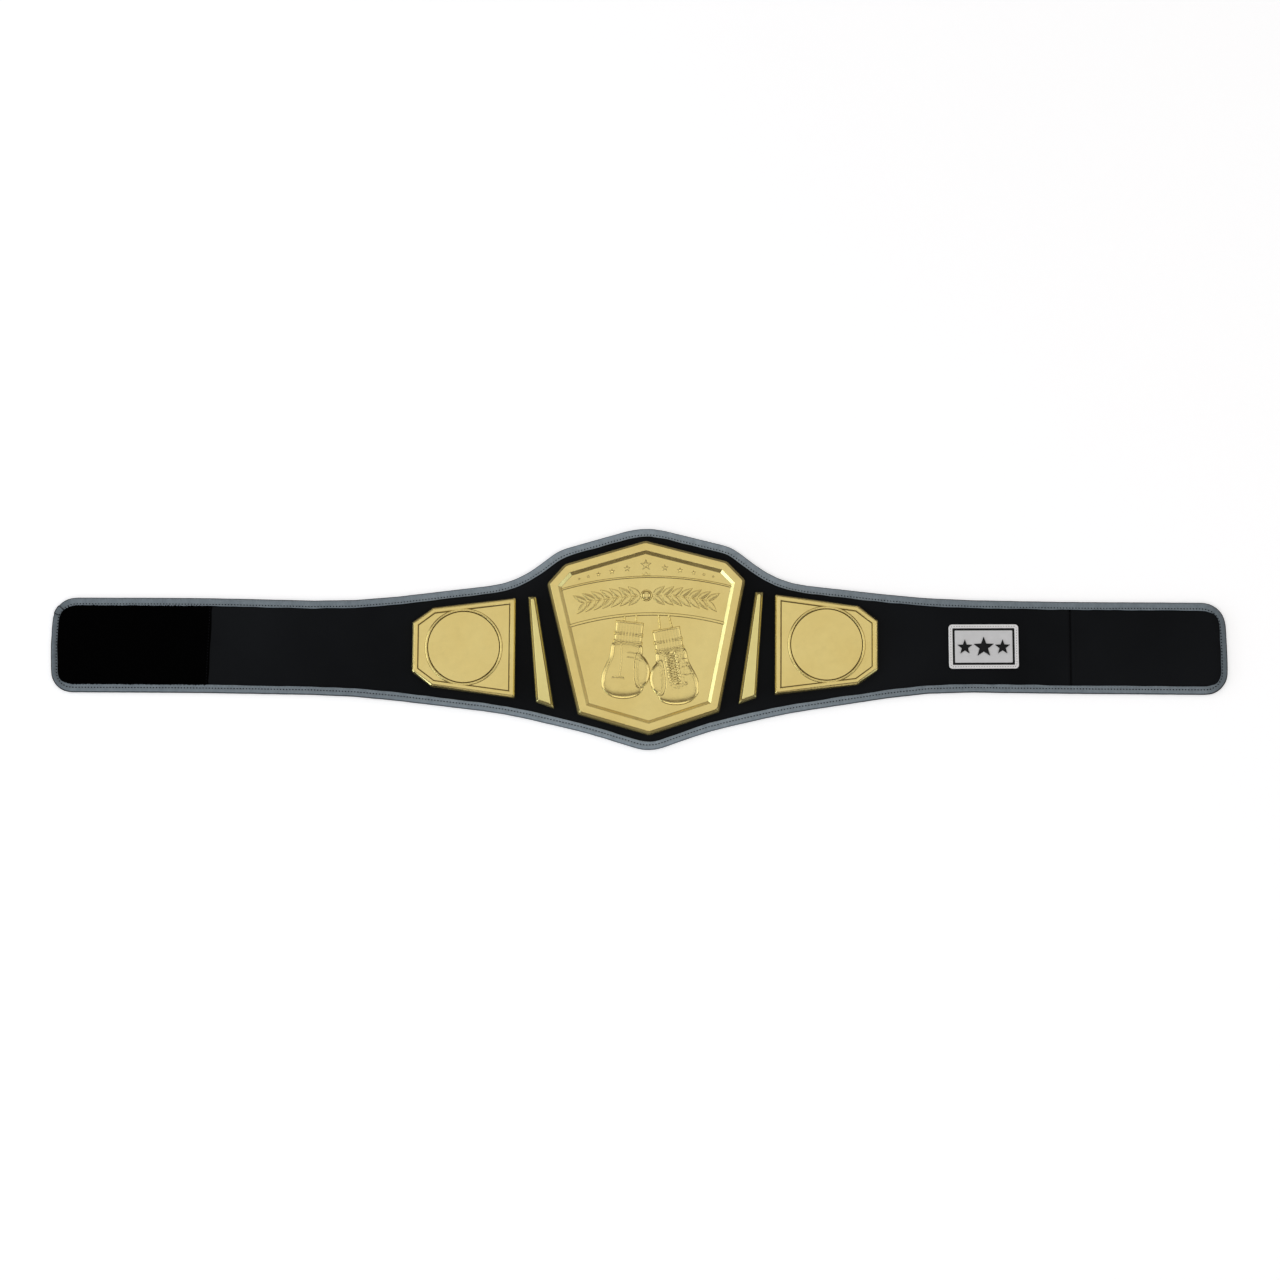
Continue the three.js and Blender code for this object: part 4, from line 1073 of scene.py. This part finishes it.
def box_depth(u, v, half_u, low, high, soft):
    du = np.abs(u) - half_u + soft
    dv = np.abs(v - (low + high) / 2) - (high - low) / 2 + soft
    return soft - (np.hypot(np.maximum(du, 0), np.maximum(dv, 0)) + np.minimum(np.maximum(du, dv), 0))


def dome(depth, radius, height):
    """A pillow over a shape: steep at its edge and level in its middle. Outside it falls away."""
    share = np.clip(depth / radius, 0, 1)
    return np.where(depth < 0, depth, height * np.sqrt(1 - (1 - share) ** 2))


def ridge(distance, half, height):
    """A half-round cord on its centre line."""
    return height * np.sqrt(np.clip(1 - (distance / half) ** 2, 0, 1))


def groove(distance, half, depth):
    return depth * np.exp(-(distance / half) ** 2)


MITT_LINE = smooth_loop(MITT)
THUMB_LINE = smooth_loop(THUMB)


def glove_height(x, y, middle, side, degrees, laced):
    """How high one hanging glove stands over the field: its fist, thumb, cuff and cords. Outside it is below 0."""
    turn = math.radians(-degrees)
    u = (x - middle[0]) * math.cos(turn) - (y - middle[1]) * math.sin(turn)
    v = (x - middle[0]) * math.sin(turn) + (y - middle[1]) * math.cos(turn)
    w = u * side
    mitt = depth_in(MITT_LINE, w, v)
    thumb = depth_in(THUMB_LINE, w, v)
    hand = dome(mitt, 11, 2.2)
    inside = mitt > 0.2
    fist = np.exp(-((w + 1) / 17) ** 2 - ((v + 47) / 10) ** 2)
    hand += np.where(inside, 0.5 * fist, 0)
    fold = v + 37 + 0.012 * (w + 4) ** 2
    hand -= np.where(inside, groove(fold, 0.8, 0.5) * smoothstep((8 - np.abs(w + 6)) / 4), 0)
    hand -= np.where(inside & (thumb < 0), groove(thumb, 0.8, 0.7), 0)
    piping = np.abs(mitt - 3.4)
    hand += np.where(inside & (thumb < -1.2) & (v > -44), ridge(piping, 0.65, 0.32), 0)
    height = np.maximum(hand, dome(thumb, 7, 2.55))
    seam = np.abs(thumb - 2.6)
    height += np.where((thumb > 0.5) & (v < -16), ridge(seam, 0.55, 0.22), 0)

    cuff = box_depth(u, v, CUFF_HALF, -1, CUFF_LENGTH, 1.6)
    sleeve = dome(cuff, 3.0, 1.35) + np.where(cuff > 0.3, 0.35 * (1 - (u / CUFF_HALF) ** 2), 0)
    sleeve += np.where(cuff > 1.2, 0.09 * np.cos(u * math.tau / 3.1), 0)
    height = np.maximum(height, sleeve)
    for low in (CUFF_LENGTH * 0.02 - 2, CUFF_LENGTH * 0.41 - 2):
        band = box_depth(u, v, CUFF_HALF * 1.06, low, low + 4, 1.2)
        strip = dome(band, 1.4, 1.9) - np.where(band > 0.9, groove(v - low - 2, 0.45, 0.7), 0)
        height = np.maximum(height, np.where(band > -0.6, strip, -9))
    hem = box_depth(u, v, CUFF_HALF * 1.02, CUFF_LENGTH - 2.2, CUFF_LENGTH + 0.3, 0.9)
    height = np.maximum(height, np.where(hem > -0.6, dome(hem, 1.1, 1.85), -9))

    for across in (-0.45, 0.45):
        a = (across * CUFF_HALF, CUFF_LENGTH * 0.9)
        b = (across * CUFF_HALF * 0.6, CUFF_LENGTH * 2.4)
        off = from_line(u, v, a, b)
        cord = 1.25 * np.sqrt(np.clip(1 - (off / 0.95) ** 2, 0, 1)) + 0.16 * np.sin((v * 1.1 + u * 1.6) * 2)
        height = np.maximum(height, np.where(off < 0.95, cord, np.where(off < 1.6, 0.9 - off, -9)))

    if laced:
        crumple = waves(np.column_stack([u, v]), 1.7, 2.2)
        crumple *= np.exp(-((w + 2) / 12) ** 2) * smoothstep((v + 46) / 6)
        height += np.where(mitt > 1.5, 0.36 * crumple, 0)
        throat = box_depth(u, v, 4.6, -35, -3, 4.0)
        height -= np.where(throat > 0, 0.55 * smoothstep(throat / 1.2), 0)
        height += ridge(np.abs(throat + 0.9), 0.75, 0.45) * (mitt > 2)
        for k in range(LACE_RUNGS):
            top = -5.2 - 5.8 * k
            for a, b in (((-5.2, top), (5.2, top - 5.2)), ((5.2, top), (-5.2, top - 5.2))):
                off = from_line(u, v, a, b)
                lift = 0.7 if a[0] < 0 else 0.5
                height += ridge(off, 0.72, lift) * (mitt > 1)
            for a in (-5.4, 5.4):
                ring = np.abs(np.hypot(u - a, v - top) - 1.05)
                height += ridge(ring, 0.45, 0.4) * (mitt > 1)
        for start, bend in ((-12, 0.03), (-20, -0.02), (-29, 0.025)):
            crinkle = v - start - bend * (w + 14) ** 2
            height -= np.where((w < -7) & (mitt > 1.5), groove(crinkle, 0.55, 0.22) * smoothstep((-7 - w) / 3), 0)
    else:
        for start, bend in ((-10, -0.03), (-15, -0.02)):
            crinkle = v - start - bend * (w - 4) ** 2
            height -= np.where((w > -2) & (mitt > 1.5), groove(crinkle, 0.6, 0.2) * smoothstep((w + 2) / 4), 0)
        panel = np.abs(w + 4.5 + 0.004 * (v + 26) ** 2)
        height += np.where((mitt > 1) & (v > -37), ridge(panel, 0.6, 0.3), 0)
    return height


def creases(x, y, height, pitch):
    """How deep in a crease each point of the relief lies, from 0 to 1, and the relief's whole foot: the mask for
    the gold's painted shade.
    """
    across = np.round((x - x.min()) / pitch).astype(int)
    along = np.round((y - y.min()) / pitch).astype(int)
    field = np.zeros((along.max() + 1, across.max() + 1))
    field[along, across] = np.maximum(height, 0)
    spread = field.copy()
    for _ in range(3):
        for axis in (0, 1):
            spread = (np.roll(spread, 1, axis) + 2 * spread + np.roll(spread, -1, axis)) / 4
    sunk = np.clip((spread - field)[along, across] * 6 - 0.15, 0, 1)
    return np.maximum(sunk, smoothstep((0.9 - height) / 0.9))


def gloves():
    """Both gloves as one pressed relief, closed underneath inside the plate."""
    pitch = 0.4
    low, high = (-52, -74), (52, 26)
    counts = [int((b - a) / pitch) for a, b in zip(low, high)]
    bm = casting()
    bmesh.ops.create_grid(bm, x_segments=counts[0], y_segments=counts[1], size=1)
    places = np.array([v.co[:2] for v in bm.verts])
    x = low[0] + (places[:, 0] + 1) / 2 * (high[0] - low[0])
    y = low[1] + (places[:, 1] + 1) / 2 * (high[1] - low[1])
    height = np.maximum(
        glove_height(x, y, (-GLOVE_WIDTH * 0.44, CUFF_TOP), side=1, degrees=-7, laced=False),
        glove_height(x, y, (GLOVE_WIDTH * 0.5, CUFF_TOP - CUFF_LENGTH * 0.35), side=-1, degrees=9, laced=True))
    under = np.hypot(x, y - BANNER_HEIGHT + BANNER_RADIUS) > BANNER_RADIUS - BANNER_BAND / 2
    height = np.where(under, -9, np.minimum(height, 2.85))
    sunk = creases(x, y, height, pitch)
    layer = bm.verts.layers.float["recess"]
    drop = []
    for v, px, py, z, deep in zip(bm.verts, x, y, height, sunk):
        v.co = (px, py, FIELD + max(z, -0.6))
        # painted shade in the relief's creases and round its foot
        v[layer] = deep
        if z < -0.55:
            drop.append(v)
    bmesh.ops.delete(bm, geom=drop, context="VERTS")
    rim = [e for e in bm.edges if e.is_boundary]
    walls = bmesh.ops.extrude_edge_only(bm, edges=rim)["geom"]
    for v in walls:
        if isinstance(v, bmesh.types.BMVert):
            v.co.z = FIELD - 1.2
    foot = [e for e in walls if isinstance(e, bmesh.types.BMEdge) and e.is_boundary]
    bmesh.ops.triangle_fill(bm, use_beauty=False, edges=foot)
    bmesh.ops.recalc_face_normals(bm, faces=bm.faces)
    return finished("glove_relief", seated(bm, MAIN_PLACE), GOLD, sharp=0)


# ---------------------------------------------------------------- side plates and bars

def disc_and_ring(bm):
    """A flat disc in a raised ring, turned from one profile."""
    inner, outer = RING_INNER, RING_OUTER
    # Each point: radius, drop, and how much painted shade the gold gets there
    profile = [(0, -0.35, 0), (inner - 0.8, -0.35, 0), (inner - 0.5, -0.5, 0.3), (inner - 0.2, -1.2, 1),
               (inner + 0.2, -1.2, 1), (inner + 0.5, -0.5, 0.3), (inner + 0.9, -0.12, 0), (inner + 1.5, -0.02, 0),
               (outer - 0.9, -0.08, 0), (outer - 0.45, -0.35, 0), (outer - 0.15, -0.75, 0.5), (outer, -1.1, 1),
               (outer + 0.25, -1.25, 1), (outer + 0.35, -2.2, 1), (0, -2.2, 0)]
    turning = casting()
    recess = turning.verts.layers.float["recess"]
    verts = []
    for radius, drop, sunk in profile:
        verts.append(turning.verts.new((radius, 0, SIDE_TOP + drop)))
        verts[-1][recess] = sunk
    edges = [turning.edges.new(pair) for pair in zip(verts, verts[1:])]
    bmesh.ops.spin(turning, geom=verts + edges, cent=(0, 0, 0), axis=(0, 0, 1), angle=math.tau,
                   steps=144, use_merge=True)
    add_shape(bm, joined(turning))


def on_side(side, loop):
    return [(-x, y) for x, y in reversed(loop)] if side == "left" else loop


def side_plate(side, place):
    bm = plate_blank(on_side(side, SIDE_LOOP), SIDE_STEPS, width=0.22, corner=1.5, outside=2, foot=0.4)
    disc_and_ring(bm)
    node = f"side_plate_{side}"
    return finished(f"{node}_gold", seated(bm, place), GOLD, [node], sharp=45, level=True)


def wedge_bar(side, place):
    bm = plate_blank(on_side(side, BAR_LOOP), BAR_STEPS, width=0.3, corner=0.8, outside=6, foot=0.35)
    node = f"wedge_bar_{side}"
    # painted light: the bars get the paler copy of the gold
    return finished(f"{node}_gold", seated(bm, place), GOLD_PAINTED_PALER, [node], sharp=45, level=True)


def softened(name, node, finish, width, segments=3, sharp=38):
    """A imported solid's own shape, with its edges rounded."""
    bm = bmesh.new()
    bm.from_mesh(solids[node].data)
    bmesh.ops.scale(bm, vec=(1000, 1000, 1000), verts=bm.verts)
    bmesh.ops.remove_doubles(bm, verts=bm.verts, dist=1e-3)
    bmesh.ops.dissolve_limit(bm, angle_limit=math.radians(1), verts=bm.verts, edges=bm.edges)
    rounded_edges(bm, sharp_edges(bm, 25), width, segments)
    return finished(name, bm, finish, [node], sharp=sharp, level=True)


def label():
    softened("label_back", "label_backing", BLACK, width=0.35)
    softened("label_frame", "label_border", SILVER, width=0.25)
    softened("label_face", "label_field", DULL_SILVER, width=0.25)
    for side in ("left", "middle", "right"):
        softened(f"label_{side}_star", f"label_star_{side}", BLACK, width=0.14, segments=2)
    half_x, half_y = LABEL_HALF[0] - 2.35, LABEL_HALF[1] - 2.35
    corner = 2.4
    line = []
    for sx, sy, start in ((1, -1, -90), (1, 1, 0), (-1, 1, 90), (-1, -1, 180)):
        for k in range(5):
            turn = math.radians(start + k * 22.5)
            line.append((sx * (half_x - corner) + corner * math.cos(turn),
                         sy * (half_y - corner) + corner * math.sin(turn)))
    x, y, degrees = LABEL_PLACE
    place = Matrix.Translation((x, y, 0)) @ Matrix.Rotation(math.radians(degrees), 4, "Z")
    places = [place @ p for p in stitches_along(np.array(line), pitch=2.7, z=6.93)]
    return sewing("label_stitches", places, PALE_THREAD, length=1.8, thickness=0.24)


# ---------------------------------------------------------------- build

strap_piece, strap_size, strap_area = strap()
pile_piece = loop_panel()
hook_piece, teeth_piece = hook_panel()
binding_piece = binding()
on_strap = [pile_piece, hook_piece, teeth_piece, binding_piece, *tape_join(), binding_sewing(),
            crease_sewing(), pile_sewing(), pile_tufts()]

main_plate()
gloves()
side_plate("right", RIGHT_SIDE_PLACE)
side_plate("left", LEFT_SIDE_PLACE)
wedge_bar("right", RIGHT_BAR_PLACE)
wedge_bar("left", LEFT_BAR_PLACE)
label()


# ---------------------------------------------------------------- table and light

def table():
    bm = bmesh.new()
    bmesh.ops.create_grid(bm, x_segments=1, y_segments=1, size=6)
    mesh = bpy.data.meshes.new("table_top")
    bm.to_mesh(mesh)
    bm.free()
    mesh.materials.append(table_card())
    made = bpy.data.objects.new("table_top", mesh)
    bpy.context.scene.collection.objects.link(made)
    made.visible_glossy = False  # the plates mirror the dim room and not the lit table


def softbox(name, place, towards, width, height, brightness, tint=(1, 1, 1)):
    """A soft light of so much brightness over its whole face."""
    lamp = bpy.data.lights.new(name, "AREA")
    lamp.shape = "RECTANGLE"
    lamp.size, lamp.size_y = width, height
    lamp.energy = brightness * math.pi * width * height
    lamp.color = tint
    lit = bpy.data.objects.new(name, lamp)
    bpy.context.scene.collection.objects.link(lit)
    lit.location = place
    lit.rotation_mode = "QUATERNION"
    lit.rotation_quaternion = (Vector(towards) - Vector(place)).to_track_quat("-Z", "Y")


def lighting():
    world = bpy.data.worlds.new("studio")
    world.use_nodes = True
    world.node_tree.nodes["Background"].inputs["Color"].default_value = (1, 0.87, 0.82, 1)
    world.node_tree.nodes["Background"].inputs["Strength"].default_value = 0.11
    bpy.context.scene.world = world
    middle, low = (0, 0, 0), (0, 0, 0.1)
    cool = (0.82, 1.0, 1.16)
    softbox("overhead", (0, 0.45, 3.4), middle, 3.0, 2.4, 0.62)
    softbox("high_left", (-2.6, 0.2, 2.2), middle, 2.6, 2.4, 1.1)
    softbox("high_right", (2.6, 0.2, 2.2), middle, 2.6, 2.4, 0.95)
    softbox("high_back", (0, 2.7, 2.2), middle, 3.2, 2.0, 0.68)
    softbox("high_front", (0, -1.7, 1.9), middle, 2.2, 1.1, 1.2)
    softbox("low_left", (-3.15, 0.5, 0.78), low, 2.6, 1.02, 1.75, cool)
    softbox("low_front_left", (-2.64, -1.99, 0.80), low, 1.5, 1.2, 2.6, cool)
    softbox("low_front", (0, -3.3, 0.34), low, 2.4, 0.42, 0.75)
    softbox("low_front_right", (2.64, -1.99, 0.80), low, 1.5, 1.2, 0.95, cool)
    softbox("low_right", (3.15, 0.5, 0.68), low, 2.2, 0.8, 0.4)
    softbox("low_back", (0, 3.2, 0.54), low, 3.0, 0.84, 0.33)


table()
lighting()
bpy.context.scene.view_settings.view_transform = "Standard"
